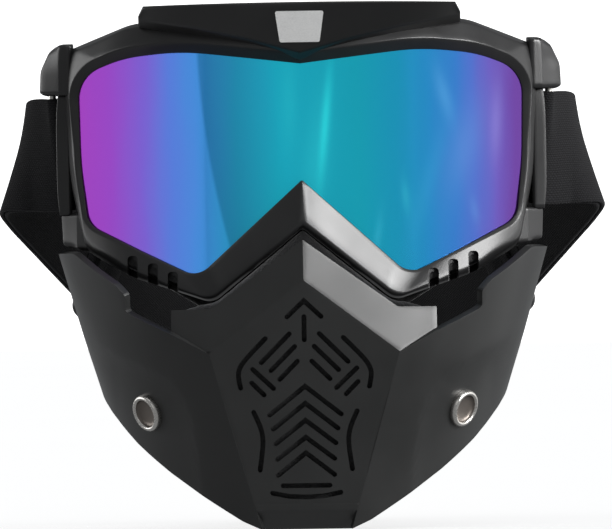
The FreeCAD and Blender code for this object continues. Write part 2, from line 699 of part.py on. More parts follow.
def mask_shell(bores):
    """The moulded shell: grille panel, nose planes, chin and cheeks in one piece."""
    wall = dim("mask_wall")
    centre = mask_layer("shell_centre", "centre", 0, wall, mirrored(CENTRE_HALF))
    cheeks = mask_layer("shell_cheeks", "cheek", 0, wall, CHEEK, sided(CHEEK, -1))
    cheeks = join("Common", "shell_cheeks_trimmed", cheeks, side_prism())
    ears = []
    for side, name in ((1, "right"), (-1, "left")):
        ears.append(block(f"ear_{name}", (side * 79.6, 50.4, 86), (side * 82.0, 57.0, 108.4)))
        ears.append(block(f"ear_foot_{name}", (side * 80.6, 50.4, 84), (side * 83.4, 59.0, 96.4)))
    middle = [
        stroke([(-x, z) for x, z in reversed(line[1:])] + line, dim("slot_wide"))
        for line in GRILLE_MIDDLE
    ]
    sides = [sided(stroke(line, dim("slot_wide")), way) for line in GRILLE_SIDE for way in (1, -1)]
    slots = front_prism("grille", *middle, *sides, stroke(GRILLE_STEM, dim("slot_wide")))
    slot_depth = block("grille_depth", (-40, -40, 0), (40, 20, 90))
    slots = join("Common", "grille_cut", slots, slot_depth)
    body = fuse("shell_body", [centre, cheeks] + ears)
    return keep(join("Cut", "mask_shell", body, fuse("shell_cuts", [slots] + bores)), "mask_shell")


def mask_inside(bores):
    """Filter, retainer and foam pads."""
    panel = mirrored(PANEL_HALF)
    inset = dim("mask_wall") + dim("gap")
    behind = inset + dim("filter_wall")
    keep(mask_layer("mask_filter", "centre", inset, behind, grown(panel, -1.5)), "mask_filter")
    front = behind + dim("gap")
    back = front + dim("retainer_wall")
    ring = mask_layer("retainer_ring", "centre", front, back, grown(panel, -1.5), grown(panel, -6.5))
    wing = [(18.0, 35.5, 0), (53.0, 37.5, 4), (53.0, 51.5, 4), (18.0, 48.5, 0)]
    inside = join("Common", "retainer_wings_centre",
                  feature("retainer_skin", centre_volume(front).cut(centre_volume(back))),
                  front_prism("retainer_inner", *[
                      sided([(x if x < 30 else 26.4, z, 0) for x, z, _ in wing], side) for side in (1, -1)]))
    outside = mask_layer("retainer_outer", "cheek", front, back, *[
        sided([(x if x > 30 else 26.2, z, r) for x, z, r in wing], side) for side in (1, -1)])
    retainer = join("Common", "retainer_body", fuse("retainer_joined", [ring, inside, outside]),
                    feature("retainer_clear", centre_volume(front - 0.1)))
    keep(join("Cut", "filter_retainer", retainer, fuse("retainer_bores", bores)), "filter_retainer")
    thick = inset + dim("pad_wall")
    keep(mask_layer("mask_nose_pad", "centre", inset, thick, mirrored(NOSE_PAD_HALF)), "mask_nose_pad")
    keep(mask_layer("mask_chin_pad", "centre", inset, inset + 5, CHIN_PAD), "mask_chin_pad")

    def cheek_pad(side, name):
        pad_layer = mask_layer(f"cheek_pad_{name}", "cheek", inset, thick, sided(CHEEK_PAD, side))
        rear = block(f"cheek_pad_rear_{name}", (side * 50, 20, 40), (side * 100, 62, 84.5))
        return keep(join("Common", f"mask_cheek_pad_{name}", pad_layer, rear), f"mask_cheek_pad_{name}")

    both_sides(cheek_pad)


def pair(name, body):
    """A body and its mirror image as one sub-part, placed on both rivets."""
    body.Placement = rivet_place(1)
    other = DOC.addObject("Part::Mirroring", name + "_left")
    other.Source = body
    other.Base = Vector()
    other.Normal = Vector(1, 0, 0)
    both = DOC.addObject("Part::Compound", name)
    both.Links = [body, other]
    return keep(both, name)


def rivets():
    """Cupped rivets: a rolled rim, a sunk middle and a post, turned about their own axis."""
    rim, post, tall = dim("rivet_radius"), dim("post_radius"), dim("rivet_tall")
    outline = [
        (0, -dim("post_long"), 0), (post, -dim("post_long"), 0), (post, 0.1, 0), (rim, 0.1, 0),
        (rim, tall * 0.6, 0), (rim - 0.8, tall, 0), (rim - 1.9, tall, 0), (rim - 2.9, tall * 0.5, 0),
        (0, tall * 0.5, 0),
    ]
    body = DOC.addObject("PartDesign::Body", "rivet_body")
    sketch = body_sketch(body, "rivet_sketch", "XZ_Plane", outline_geometry(outline))
    turn = body.newObject("PartDesign::Revolution", "rivet_turn")
    turn.Profile = sketch
    turn.ReferenceAxis = (sketch, ["V_Axis"])
    turn.Angle = 360
    pair("rivets", body)


def rivet_washers():
    """Spring washers pressed on the posts behind the retainer."""
    body = DOC.addObject("PartDesign::Body", "washer_body")
    centre, up = Vector(0, 0, 0), Vector(0, 0, 1)
    circles = [Part.Circle(centre, up, radius) for radius in (4.5, dim("post_radius") + 0.02)]
    washer = pad(body, "washer_pad", body_sketch(body, "washer_sketch", "XY_Plane", circles), "1.0")
    washer.Reversed = True
    pair("rivet_washers", body)
    body.Placement = rivet_place(1).multiply(Placement(Vector(0, 0, -11.5), Rotation()))


# ---------------------------------------------------------------- the whole object
goggle_frame()
brow_badge()
rim_layers()
both_sides(vent_foam)
strap_pins()
head_strap()
both_sides(strap_return)
both_sides(strap_adjuster)
both_sides(strap_end)
mask_shell(both_sides(rivet_bore))
mask_inside(both_sides(lambda side, name: rivet_bore(side, f"inner_{name}")))
rivets()
rivet_washers()
DOC.recompute()

for made in DOC.Objects:
    wrong = [state for state in made.State if state in ("Invalid", "Error")]
    if wrong:
        raise RuntimeError(f"{made.Name} is {wrong}")

os.makedirs(OUT, exist_ok=True)
for made in PARTS:
    if made.Shape.isNull() or not made.Shape.isValid() or not made.Shape.Solids:
        raise RuntimeError(f"{made.Label} has no sound solid")
    made.Shape.exportStep(os.path.join(OUT, made.Label + ".step"))
    box = made.Shape.optimalBoundingBox(False, False)
    print(f"{made.Label:22s} solids {len(made.Shape.Solids)}  volume {made.Shape.Volume:10.1f}  "
          f"x {box.XMin:7.2f} {box.XMax:7.2f}  y {box.YMin:7.2f} {box.YMax:7.2f}  "
          f"z {box.ZMin:7.2f} {box.ZMax:7.2f}")
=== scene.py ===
from contextlib import contextmanager
from functools import partial
from math import acos, atan2, copysign, cos, hypot, pi, radians, sin, tan

import bmesh
import bpy
import numpy as np
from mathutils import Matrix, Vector, noise as fine_noise


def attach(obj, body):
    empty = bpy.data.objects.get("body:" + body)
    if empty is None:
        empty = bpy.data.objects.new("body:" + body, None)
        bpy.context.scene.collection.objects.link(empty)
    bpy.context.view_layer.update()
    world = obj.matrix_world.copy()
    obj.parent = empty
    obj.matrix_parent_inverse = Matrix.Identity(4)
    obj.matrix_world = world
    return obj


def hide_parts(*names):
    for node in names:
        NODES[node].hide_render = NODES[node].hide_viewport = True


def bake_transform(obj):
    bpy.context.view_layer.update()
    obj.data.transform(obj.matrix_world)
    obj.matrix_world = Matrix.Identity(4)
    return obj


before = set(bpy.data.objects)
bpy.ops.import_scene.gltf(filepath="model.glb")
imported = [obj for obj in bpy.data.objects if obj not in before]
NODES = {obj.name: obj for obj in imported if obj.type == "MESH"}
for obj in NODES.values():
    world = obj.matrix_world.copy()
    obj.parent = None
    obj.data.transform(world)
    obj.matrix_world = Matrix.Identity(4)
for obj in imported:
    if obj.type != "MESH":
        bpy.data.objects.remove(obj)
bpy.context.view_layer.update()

# Sizes are in mm up to the point where a mesh is made, and points are (X, depth, Z).
MM = 0.001
LENS_Y = -73.0      # Y of the lens front at its middle, where the depth is 0
LENS_R = 105.0      # radius of the lens about an upright axis
REAR_R = 108.0      # the same for the back of the goggle frame


# ---- meshes
def unit(v):
    """A direction, or rows of directions, at length 1."""
    return v / np.linalg.norm(v, axis=-1, keepdims=True)


def length(v):
    return float(np.linalg.norm(v))


def distances(points):
    """How far along a line each of its points is."""
    return np.concatenate([[0], np.cumsum(np.linalg.norm(np.diff(points, axis=0), axis=1))])


def flipped(points, side):
    """Points of the right side as they are, or mirrored where side is -1."""
    return [(side * p[0], *p[1:]) for p in points]


def metres(x, depth, z):
    return x * MM, (depth + LENS_Y) * MM, z * MM


def placed(name, data):
    made = bpy.data.objects.new(name, data)
    bpy.context.collection.objects.link(made)
    return made


@contextmanager
def editing(made):
    """The object's mesh as a bmesh, which is written back at the end."""
    work = bmesh.new()
    work.from_mesh(made.data)
    yield work
    work.to_mesh(made.data)
    work.free()


def mesh_object(name, verts, faces, mat, body, slot, nodes=()):
    """A smooth piece that rides on a body and stands for some CAD nodes."""
    mesh = bpy.data.meshes.new(name)
    mesh.from_pydata([metres(*v) for v in verts], [], faces)
    mesh.validate()
    mesh.materials.append(mat)
    mesh.shade_smooth()
    made = placed(name, mesh)
    with editing(made) as work:
        bmesh.ops.recalc_face_normals(work, faces=work.faces)
    if body:
        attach(made, body)
    if nodes:
        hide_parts(*nodes)
    return made


def shade(made, degrees):
    """Smooth shading that keeps edges sharper than an angle."""
    with editing(made) as work:
        for face in work.faces:
            face.smooth = True
        for edge in work.edges:
            edge.smooth = edge.calc_face_angle(0) < radians(degrees)


def applied(made):
    """Every modifier of an object, put into its mesh."""
    graph = bpy.context.evaluated_depsgraph_get()
    graph.update()
    fresh = bpy.data.meshes.new_from_object(made.evaluated_get(graph))
    made.modifiers.clear()
    old, made.data = made.data, fresh
    bpy.data.meshes.remove(old)


def assign(thing, **values):
    for name, value in values.items():
        setattr(thing, name, value)


def modified(made, kind, **settings):
    """One modifier, put into the object's mesh at once."""
    assign(made.modifiers.new("change", kind), **settings)
    applied(made)


def cut(made, name, build):
    """Takes away the solids that build adds to a bmesh."""
    work = bmesh.new()
    build(work)
    bmesh.ops.recalc_face_normals(work, faces=work.faces)
    mesh = bpy.data.meshes.new(name)
    work.to_mesh(mesh)
    work.free()
    tool = placed(name, mesh)
    modified(made, "BOOLEAN", operation="DIFFERENCE", object=tool, solver="EXACT")
    bpy.data.objects.remove(tool)


def prism(work, edge, low, high):
    """A closed prism along the depth, from an outline in X and Z. Its far end may be a function of X."""
    rings = []
    for end in (low, high):
        depths = [float(end(x)) if callable(end) else end for x, _ in edge]
        rings.append([work.verts.new(metres(x, depth, z)) for (x, z), depth in zip(edge, depths)])
    near, far = rings
    work.faces.new(near)
    work.faces.new(far[::-1])
    for k in range(len(edge)):
        work.faces.new((near[k], near[k - 1], far[k - 1], far[k]))


def fillet(corners, arcs, edges):
    """Samples of a closed outline, and each one's place on it, where corner i is at i.

    A corner is (x, y, radius). arcs and edges give the samples on each corner and after it."""
    count = len(corners)
    arcs, edges = ([n] * count if isinstance(n, int) else n for n in (arcs, edges))
    flat = [np.array(c[:2], float) for c in corners]
    runs = []
    for i, here in enumerate(flat):
        back, on = flat[i - 1] - here, flat[(i + 1) % count] - here
        longest = 0.48 * min(length(back), length(on))
        back, on = (v / max(length(v), 1e-9) for v in (back, on))
        half = acos(max(-1, min(1, float(back @ on)))) / 2
        if corners[i][2] <= 0 or not 1e-3 <= half <= pi / 2 - 1e-3:
            runs.append([here] * arcs[i])
            continue
        run = min(corners[i][2] / tan(half), longest)
        middle = here + unit(back + on) * (run * tan(half) / sin(half))
        start, end = here + back * run - middle, here + on * run - middle
        turn = atan2(start[0] * end[1] - start[1] * end[0], start @ end)
        steps = np.linspace(0, turn, arcs[i]) if arcs[i] > 1 else [turn / 2]
        across = np.array([-start[1], start[0]])
        runs.append([middle + start * cos(a) + across * sin(a) for a in steps])
    points, marks = [], []
    for i, line in enumerate(runs):
        shares = np.linspace(0, 1, edges[i] + 2)[1:-1]
        points += line + [line[-1] + (runs[(i + 1) % count][0] - line[-1]) * s for s in shares]
        marks += [float(i)] * len(line) + list(i + shares)
    return np.array(points), np.array(marks)


def outline(corners, arcs, edges):
    return fillet(corners, arcs, edges)[0]


def rectangle(left, low, right, high, radius, top_radius=None):
    """Corners for an outline, the upper two with a radius of their own if it is given."""
    top = radius if top_radius is None else top_radius
    return [(left, low, radius), (right, low, radius), (right, high, top), (left, high, top)]


def mirrored(half):
    """A whole loop from its right half, without repeating the two middle entries."""
    return half + flipped(half[-2:0:-1], -1)


def shifted(faces, first):
    return [tuple(first + k for k in face) for face in faces]


def tube_faces(rings, around, closed=True):
    """Quads between rings of points, each ring closed."""
    faces = []
    for i in range(rings if closed else rings - 1):
        j = (i + 1) % rings
        for k in range(around):
            m = (k + 1) % around
            faces.append((i * around + k, i * around + m, j * around + m, j * around + k))
    return faces


def bar_faces(rings, around):
    """Quads between rings of points, and a flat face at each end."""
    ends = [tuple(range(around)), tuple(range((rings - 1) * around, rings * around))]
    return tube_faces(rings, around, closed=False) + ends


def bar_object(name, stations, mat, body, slot, nodes=()):
    """A bar from closed sections of equal size, with flat ends."""
    verts = [tuple(p) for s in stations for p in s]
    return mesh_object(name, verts, bar_faces(len(stations), len(stations[0])), mat, body, slot, nodes)


def bend(x, radius=LENS_R):
    """Depth of an upright cylinder's front at some X."""
    return radius - np.sqrt(radius**2 - np.minimum(np.abs(x), radius - 0.01) ** 2)


# ---- finishes
class Finish:
    """A new material, and short calls that add its nodes. A value is a number, a colour or a socket."""

    def __init__(self, name):
        self.material = bpy.data.materials.new(name)
        self.material.use_nodes = True
        self.tree = self.material.node_tree
        self.shader = self.tree.nodes["Principled BSDF"]
        self.add, self.take, self.times, self.over = (
            partial(self.calc, kind) for kind in ("ADD", "SUBTRACT", "MULTIPLY", "DIVIDE")
        )

    def feed(self, socket, value):
        if isinstance(value, bpy.types.NodeSocket):
            self.tree.links.new(value, socket)
        else:
            socket.default_value = value

    def set(self, made=None, **inputs):
        """Sets or links inputs of a node, or of the shader itself."""
        for name, value in inputs.items():
            self.feed((made or self.shader).inputs[name.replace("_", " ")], value)

    def node(self, kind, **inputs):
        made = self.tree.nodes.new("ShaderNode" + kind)
        self.set(made, **inputs)
        return made

    def calc(self, kind, *values):
        step = self.node("Math")
        step.operation = kind
        for socket, value in zip(step.inputs, values):
            self.feed(socket, value)
        return step.outputs[0]

    def blend(self, kind, factor, a, b):
        mix = self.node("Mix")
        mix.data_type, mix.blend_type = "RGBA", kind
        self.set(mix, Factor=factor, A=a, B=b)
        return mix.outputs["Result"]

    def place(self):
        return self.node("TexCoord").outputs["Object"]

    def noise(self, scale, detail=3, stretch=None):
        place = self.place()
        if stretch:
            place = self.node("Mapping", Vector=place, Scale=stretch).outputs["Vector"]
        return self.node("TexNoise", Vector=place, Scale=scale, Detail=detail).outputs["Fac"]

    def ranged(self, value, low, high, start=0.3, end=0.7):
        made = self.node("MapRange", Value=value, From_Min=start, From_Max=end, To_Min=low, To_Max=high)
        return made.outputs["Result"]

    def tint(self, factor, dark, pale):
        """The base colour, from dark to pale with a factor."""
        self.set(Base_Color=self.blend("MIX", factor, (*dark, 1), (*pale, 1)))

    def bump(self, height, strength, distance):
        self.set(Normal=self.node("Bump", Height=height, Strength=strength, Distance=distance).outputs["Normal"])


def plastic(name, colour, rough, grain=2600):
    """Moulded plastic: spark-eroded grain, cloudy gloss and slightly paler worn patches."""
    f = Finish(name)
    cloud = f.noise(38, 4)
    f.tint(cloud, colour, [c * 1.7 + 0.002 for c in colour])
    f.set(Roughness=f.ranged(cloud, rough - 0.05, rough + 0.06), Specular_IOR_Level=0.4)
    f.bump(f.noise(grain, 2), 0.35, 0.03 * MM)
    return f.material


def foam(name, colour, cells=1400):
    """Open-cell foam: pits between paler cell walls, with painted shade darkening the pits."""
    f = Finish(name)
    pits = f.node("TexVoronoi", Vector=f.place(), Scale=cells).outputs["Distance"]
    # painted shade: the colour darkens into each pit
    f.tint(f.ranged(pits, 0.35, 1, 0, 0.6), [c * 0.35 for c in colour], colour)
    f.set(Roughness=0.95, Sheen_Weight=0.25)
    f.bump(pits, 0.8, 0.3 * MM)
    return f.material


def fleece(name, dark, pale):
    """Brushed fleece: fine fibres over low tufts."""
    f = Finish(name)
    fibre = f.noise(1500, 5)
    f.tint(fibre, dark, pale)
    f.set(Roughness=1, Sheen_Weight=0.15)
    f.bump(f.add(fibre, f.noise(160, 3)), 0.7, 0.4 * MM)
    return f.material


def metal(name, colour, rough, stretch):
    """Brushed metal, its brush lines stretched across the height."""
    f = Finish(name)
    lines = f.noise(1500, 2, (1, 1, stretch))
    f.tint(lines, [c * 0.82 for c in colour], colour)
    f.set(Metallic=1, Roughness=f.ranged(lines, rough - 0.06, rough + 0.08))
    f.bump(lines, 0.02, 0.001 * MM)
    return f.material


def webbing(name, colour, rough, rib_pitch=1.6, pick_pitch=1.9):
    """Elastic webbing: warp ribs along it, fine picks across it, paler fibre fluff, and painted shade in the grooves
    between ribs and picks.
    """
    f = Finish(name)
    weave = f.node("UVMap")
    weave.uv_map = "weave"
    split = f.node("SeparateXYZ", Vector=weave.outputs["UV"]).outputs
    ribs = f.times(split["Y"], 2 * pi / (rib_pitch * MM))
    rib = f.calc("ABSOLUTE", f.calc("SINE", ribs))
    shift = f.times(f.calc("FLOOR", f.over(ribs, pi)), pi / 2)
    picks = f.add(f.times(split["X"], 2 * pi / (pick_pitch * MM)), shift)
    pick = f.calc("ABSOLUTE", f.calc("SINE", picks))
    height = f.times(rib, f.add(f.times(pick, 0.6), 0.4))
    fibre = f.noise(1700, 4)
    # painted shade where the weave is low, between ribs and picks; the fibre and cloud noise add real fluff and tone
    groove_shade_and_fluff = f.add(f.times(height, 0.6), f.times(fibre, 0.5))
    groove_shade_and_fluff = f.times(groove_shade_and_fluff, f.add(f.times(f.noise(60, 3), 0.6), 0.7))
    f.tint(groove_shade_and_fluff, [c * 0.3 for c in colour], colour)
    f.set(Roughness=rough, Specular_IOR_Level=0.12, Sheen_Weight=0.02)
    f.bump(f.add(height, f.times(fibre, 0.3)), 0.8, 0.25 * MM)
    return f.material


# The mirror coating's hue at some X, as sRGB.
COAT_HUES = [
    (-78, (158, 58, 186)), (-66, (146, 68, 192)), (-54, (118, 92, 204)), (-44, (84, 120, 214)),
    (-34, (58, 142, 214)), (-22, (34, 154, 196)), (-8, (16, 170, 194)), (20, (12, 162, 184)),
    (34, (20, 152, 190)), (44, (38, 142, 206)), (53, (58, 130, 214)), (60, (86, 118, 216)),
    (67, (116, 98, 202)), (74, (118, 72, 172)),
]
# Painted reflection streaks on the coating, standing in for reflected softboxes: middle X and Z, half width and
# height, lean, strength and colour.
COAT_REFLECTION_STREAKS = [
    (8.2, 139, 1.5, 17, 0.10, 0.85, (0.02, 0.75, 0.82)),
    (5.2, 128, 4.5, 22, 0.10, 0.35, (0.02, 0.62, 0.70)),
    (-4, 148, 3, 16, 0, 0.25, (0.02, 0.62, 0.70)),
    (50, 150, 2.4, 9, -0.25, 0.5, (0.10, 0.42, 0.85)),
    (57, 132, 6, 16, 0.25, 0.35, (0.16, 0.38, 0.85)),
    (68, 140, 2.2, 13, 0.05, 0.5, (0.32, 0.28, 0.80)),
    (36, 115, 1.5, 6, -0.1, 0.35, (0.04, 0.55, 0.72)),
    (26, 101, 1.4, 8, 0.15, 0.35, (0.04, 0.52, 0.72)),
    (60, 110, 1.6, 5, -0.15, 0.4, (0.14, 0.33, 0.80)),
    (44, 120, 3, 20, 0.3, 0.2, (0.05, 0.45, 0.80)),
]


def lens_coat():
    """Mirror coating: its hue runs from violet at the sides to teal in the middle, with painted reflection streaks
    and a painted darker reflection right of a slanted line.
    """
    f = Finish("mirror_coating")
    split = f.node("SeparateXYZ", Vector=f.place()).outputs
    x, z = f.times(split["X"], 1 / MM), f.times(split["Z"], 1 / MM)
    wisp = f.noise(55, 4, (1, 1, 0.22))
    drifted = f.add(x, f.times(f.take(wisp, 0.5), 9))
    ramp = f.node("ValToRGB", Fac=f.ranged(drifted, 0, 1, -80, 80))
    hues = ramp.color_ramp.elements
    while len(hues) < len(COAT_HUES):
        hues.new(0.5)
    for hue, (at, rgb) in zip(hues, COAT_HUES):
        hue.position = (at + 80) / 160
        hue.color = (*((c / 255) ** 2.2 for c in rgb), 1)
    # painted shade: the reflection is darker right of a bowed, slanted line, fading to the middle
    bow = f.take(z, 131)
    edge = f.add(f.times(f.take(165, z), 0.158), -37.6)
    past = f.take(x, f.take(edge, f.times(f.times(bow, bow), -0.0016)))
    painted_dark_reflection = f.times(f.ranged(past, 0, 1, -0.5, 0.7), f.ranged(past, 1, 0, 2, 26))
    # painted shade of the darker reflection, multiplied into the coating's colour
    colour = f.blend("MULTIPLY", painted_dark_reflection, ramp.outputs["Color"], (0.42, 0.68, 0.66, 1))
    # painted reflections: each streak mixes a paler tint into the coating's colour
    for mid_x, mid_z, half_x, half_z, lean, strength, tint in COAT_REFLECTION_STREAKS:
        up = f.take(z, mid_z)
        dx = f.over(f.take(f.take(x, mid_x), f.times(up, lean)), half_x)
        dz = f.over(up, half_z)
        near = f.calc("EXPONENT", f.times(f.add(f.times(dx, dx), f.times(dz, dz)), -1))
        colour = f.blend("MIX", f.times(near, strength), colour, (*tint, 1))
    f.set(Base_Color=colour, Metallic=0.85, Roughness=f.ranged(wisp, 0.12, 0.18),
          Coat_Weight=0.12, Coat_Roughness=0.05)
    return f.material


FRAME_BLACK = plastic("frame_black", (0.005, 0.005, 0.0052), 0.33)
MASK_BLACK = plastic("mask_black", (0.0065, 0.0067, 0.0066), 0.37)
SLIDER_BLACK = plastic("slider_black", (0.008, 0.008, 0.0085), 0.34)
RUBBER = plastic("rubber_black", (0.014, 0.014, 0.015), 0.62, 1800)
PAD_FOAM = foam("pad_foam", (0.016, 0.016, 0.017))
OPEN_FOAM = foam("open_foam", (0.009, 0.009, 0.0095), 700)
FLEECE = fleece("fleece_black", (0.006, 0.006, 0.007), (0.016, 0.016, 0.017))
DULL_STEEL = metal("dull_steel", (0.17, 0.15, 0.135), 0.45, 2)
STEEL = metal("bright_steel", (0.62, 0.60, 0.57), 0.27, 3)
BADGE = metal("badge_silver", (0.86, 0.86, 0.85), 0.40, 1.6)
WEBBING = webbing("black_webbing", (0.010, 0.010, 0.011), 0.88)
THREAD = webbing("black_thread", (0.03, 0.03, 0.032), 0.7)

for mat, names in (
    (lens_coat(), "lens"), (RUBBER, "lens_gasket inner_frame"), (STEEL, "strap_pins rivet_washers"),
    (OPEN_FOAM, "vent_foam_left vent_foam_right mask_filter"), (SLIDER_BLACK, "filter_retainer"),
    (BADGE, "brow_badge"),
):
    for name in names.split():
        NODES[name].data.materials.clear()
        NODES[name].data.materials.append(mat)


# ---- goggle frame
# Right half, from the nose round to the brow. Each row: lens edge (x, z, r), outer edge (x, z, r), then the
# section: inner height, ridge distance and height, shoulder distance from outside and height, outer height,
# and the nose ridge's extra height.
BEZEL = [
    ((0, 121.2, 0.6), (0, 104.6, 1.2), 1, 0.9, 1.5, 1.3, 4.4, 1.6, 7),
    ((36.8, 87.9, 8), (31.5, 79, 6), 1, 0.9, 1.5, 1.2, 4, 0.8, 0),
    ((57, 97.7, 40), (60, 88.6, 30), 1, 0.9, 1.5, 1.2, 3.6, 0.2, 0),
    ((74.9, 106.9, 8), (75.6, 97.8, 9), 0.9, 1.4, 2, 1.4, 3, -3.5, 0),
    ((77.2, 128, 120), (81.6, 124, 90), 0.4, 2.4, 2.8, 0.5, 0, -7, 0),
    ((77.8, 158.6, 22), (82.9, 167.4, 4), 0.4, 3.4, 4, 1.2, 0.5, -4, 0),
    ((62, 164.6, 46), (58.5, 176.6, 22), 0.5, 3.7, 5.2, 1.4, 0.6, -2, 0),
    ((42, 166.6, 110), (40, 177.6, 40), 0.8, 3.7, 5.4, 1.4, 1.6, -1, 0),
    ((0, 161.6, 0.6), (0, 178.4, 4), 0.8, 3.6, 5.6, 1.4, 3, 0, 0),
]
BEZEL_ARCS, BEZEL_EDGES = [3, 12, 4, 10, 6, 12, 10, 8, 3], [22, 10, 8, 10, 14, 10, 12, 22]
FRAME_DEEP, FRAME_WALL = 19, 2.2
VALUES_REACH, NORMALS_REACH = 9, 3.0      # how far along the ring they are evened out
BROW_HALF, BROW_TAPER, BROW_TOP = 56, 1.5, 182.8
BROW_CREASE = [(0, 165.6), (2, 166.1), (16.5, 170.2), (36, 174.6), (57.6, 178.2)]


def bezel():
    """The frame's front ring: a ridge beside the lens, a shoulder, and an outer wall to the back."""
    whole = BEZEL + BEZEL[-2:0:-1]
    arcs, edges = BEZEL_ARCS + BEZEL_ARCS[-2:0:-1], BEZEL_EDGES + BEZEL_EDGES[::-1]
    lens, marks = fillet(mirrored([row[0] for row in BEZEL]), arcs, edges)
    outer = outline(mirrored([row[1] for row in BEZEL]), arcs, edges)
    table = np.array([row[2:] for row in whole + whole[:1]], float)
    values = np.array([np.interp(marks, np.arange(len(table)), column) for column in table.T]).T
    tangents = np.roll(lens, -1, axis=0) - np.roll(lens, 1, axis=0)
    steps = np.linalg.norm(tangents, axis=1) / 2
    along_ring = np.cumsum(steps)
    apart = np.abs(along_ring[:, None] - along_ring)
    apart = np.minimum(apart, along_ring[-1] - apart)

    def evened(rows, reach):
        weights = np.exp(-(apart / reach) ** 2) * steps
        return weights @ rows / weights.sum(axis=1, keepdims=True)

    values[:, :-1] = evened(values[:, :-1], VALUES_REACH)
    sides = np.stack([tangents[:, 1], -tangents[:, 0]], axis=1)
    sides = unit(sides) * np.sign(np.sum(sides * (outer - lens), axis=1, keepdims=True))
    sides = unit(evened(sides, NORMALS_REACH))
    verts = []
    for a, b, straight, (hi, ar, hr, es, hs, ho, prow) in zip(lens, outer, sides, values):
        width = length(b - a)
        wall = min(FRAME_WALL, width * 0.42)
        rear = -(FRAME_DEEP + bend(b[0], REAR_R) - bend(b[0]))
        section = outline([
            (0, 0.05, 0), (0, hi + prow, 0.3), (ar, hr + prow, 0.7), (width - es, hs + prow, 2.4),
            (width, ho + prow * 0.8, 1.6), (width, rear, 0.5), (width - wall, rear, 0.5), (width - wall, 0.05, 0),
        ], [1, 4, 5, 6, 5, 3, 3, 1], [2, 2, 3, 2, 5, 1, 3, 2])
        for along, height in section:
            ridge = a + straight * min(along, ar)
            p = ridge + (b - ridge) * (max(0, along - ar) / (width - ar))
            verts.append((p[0], float(bend(p[0])) - height, p[1]))
    return verts, tube_faces(len(lens), len(section))


def frame_bar(name, stations):
    return bar_object(name, stations, FRAME_BLACK, "goggles", "frame_plastic")


def brow():
    """The brow bar: its front leans out to a crease and is undercut below it."""
    stations = []
    taper_from = BROW_HALF - BROW_TAPER
    for x in np.concatenate([[-BROW_HALF], np.linspace(-55.4, 55.4, 97), [BROW_HALF]]):
        low = float(np.interp(abs(x), *zip(*BROW_CREASE)))
        top = BROW_TOP - 0.4 * (x / 57) ** 2
        top -= max(0, (abs(x) - taper_from) / BROW_TAPER) * (top - low - 1)
        out = 9.0 - 2.2 * (abs(x) / BROW_HALF) ** 4
        section = outline([
            (top, -8, 0), (top, out + 0.5, 0.9), (low + 0.3, out - 0.6, 0.5), (low - 0.5, out - 1.5, 0.4),
            (low - 2.6, 3, 0.6), (low - 3, -6, 0),
        ], [1, 5, 5, 4, 3, 1], [3, 8, 1, 3, 2, 2])
        stations.append([(x, float(bend(x)) - h, z) for z, h in section])
    return stations


frame_piece = mesh_object("goggle_bezel", *bezel(), FRAME_BLACK, "goggles", "frame_plastic", ["goggle_frame"])
frame_bar("brow_bar", brow())


# ---- face mask
CHEEK_TOP = [(33, 61.5, 1.5), (46, 68.4, 0), (62, 76.3, 2), (62, 82, 2), (65.3, 85.7, 2), (80, 97, 3), (85.84, 97, 0)]
CHEEK_REAR = [(60, 97), (66, 82), (64, 56), (55.9, 47.8)]
CHEEK_LOW = [(71.8, 47.8, 0), (68.4, 41.2, 20), (59.6, 30.4, 30), (47.5, 19.9, 40), (22.4, 3.1, 8), (15.6, 0, 0)]
CHEEK_ROUND = 0.97      # the cheek's round in plan, deep against half its width
FLAT_R = 70.0           # radius that lays the cheek's round out flat
FOLD = [(86, 74), (76, 67.6), (66, 61.2), (56.6, 57), (48, 53.2), (43.4, 47.5), (40.4, 40),
        (38, 28), (36.5, 8), (36, -6)]
FOLD_DEEP, FOLD_REACH, FOLD_SOFT = 1.7, 3.4, 1.0
PANEL_TOP = 86.5        # Z of the grille panel's peak
PANEL_SIDE = [(18.2, 9), (33, 61.5)]
NOSE_SIDE, NOSE_TIP, NOSE_END = (32.5, 76.9), (0, 100.4), (46, 76.8)
MASK_WALL, CREASE_ROUND = 2.4, 1.1
SLOT_WIDE, SLOT_DEPTHS = 1.7, (-24, 20)
SLOTS_MIDDLE = [[(0, 79.4), (5.9, 73.9)]] + [
    [(0, top), (half, top - drop)]
    for top, half, drop in (
        (49.8, 12.4, 9.8), (43.9, 11.2, 8.8), (38, 10.4, 8), (32.1, 9.9, 7.5), (26.7, 9.8, 7.7),
    )
] + [[(0, 15.3), (8.1, 15.3)], [(0, 11.3), (6, 11.6), (11.8, 12.8)]]
SLOTS_SIDE = [
    [(5.2, 68), (15, 58.2)],
    [(3.4, 63.6), (11.7, 55.4)],
    [(2.5, 58.5), (8.7, 52.3)],
    [(13.5, 66.5), (21.3, 58.7), (23.3, 54.6), (22.3, 49.5)],
    [(18, 55.9), (10.9, 49.2)],
    [(18.4, 51.2), (14.2, 47)],
    [(17.9, 41), (15.4, 35.5), (14.6, 30.5), (16, 20.9)],
]


def even(points, count):
    """Equal steps along a line of points."""
    points = np.array(points, float)
    runs = distances(points)
    at = np.linspace(0, runs[-1], count)
    return np.array([np.interp(at, runs, column) for column in points.T]).T


def joined(*lines):
    """Lines end to end, each after the first without its first point."""
    return np.vstack([lines[0]] + [line[1:] for line in lines[1:]])


def open_fillet(corners, steps):
    """An open line with its corners rounded."""
    ends = [(*corners[0][:2], 0)], [(*corners[-1][:2], 0)]
    return outline(ends[0] + corners[1:-1] + ends[1], [1] + [steps] * (len(corners) - 2) + [1], 0)


def cheek_half(z):
    """Half the cheek's width at a height."""
    return 57.9 + 0.288 * z


def cheek_front(z):
    """Depth of the cheek's round at its front, at a height."""
    return 2.3 - 0.333 * z


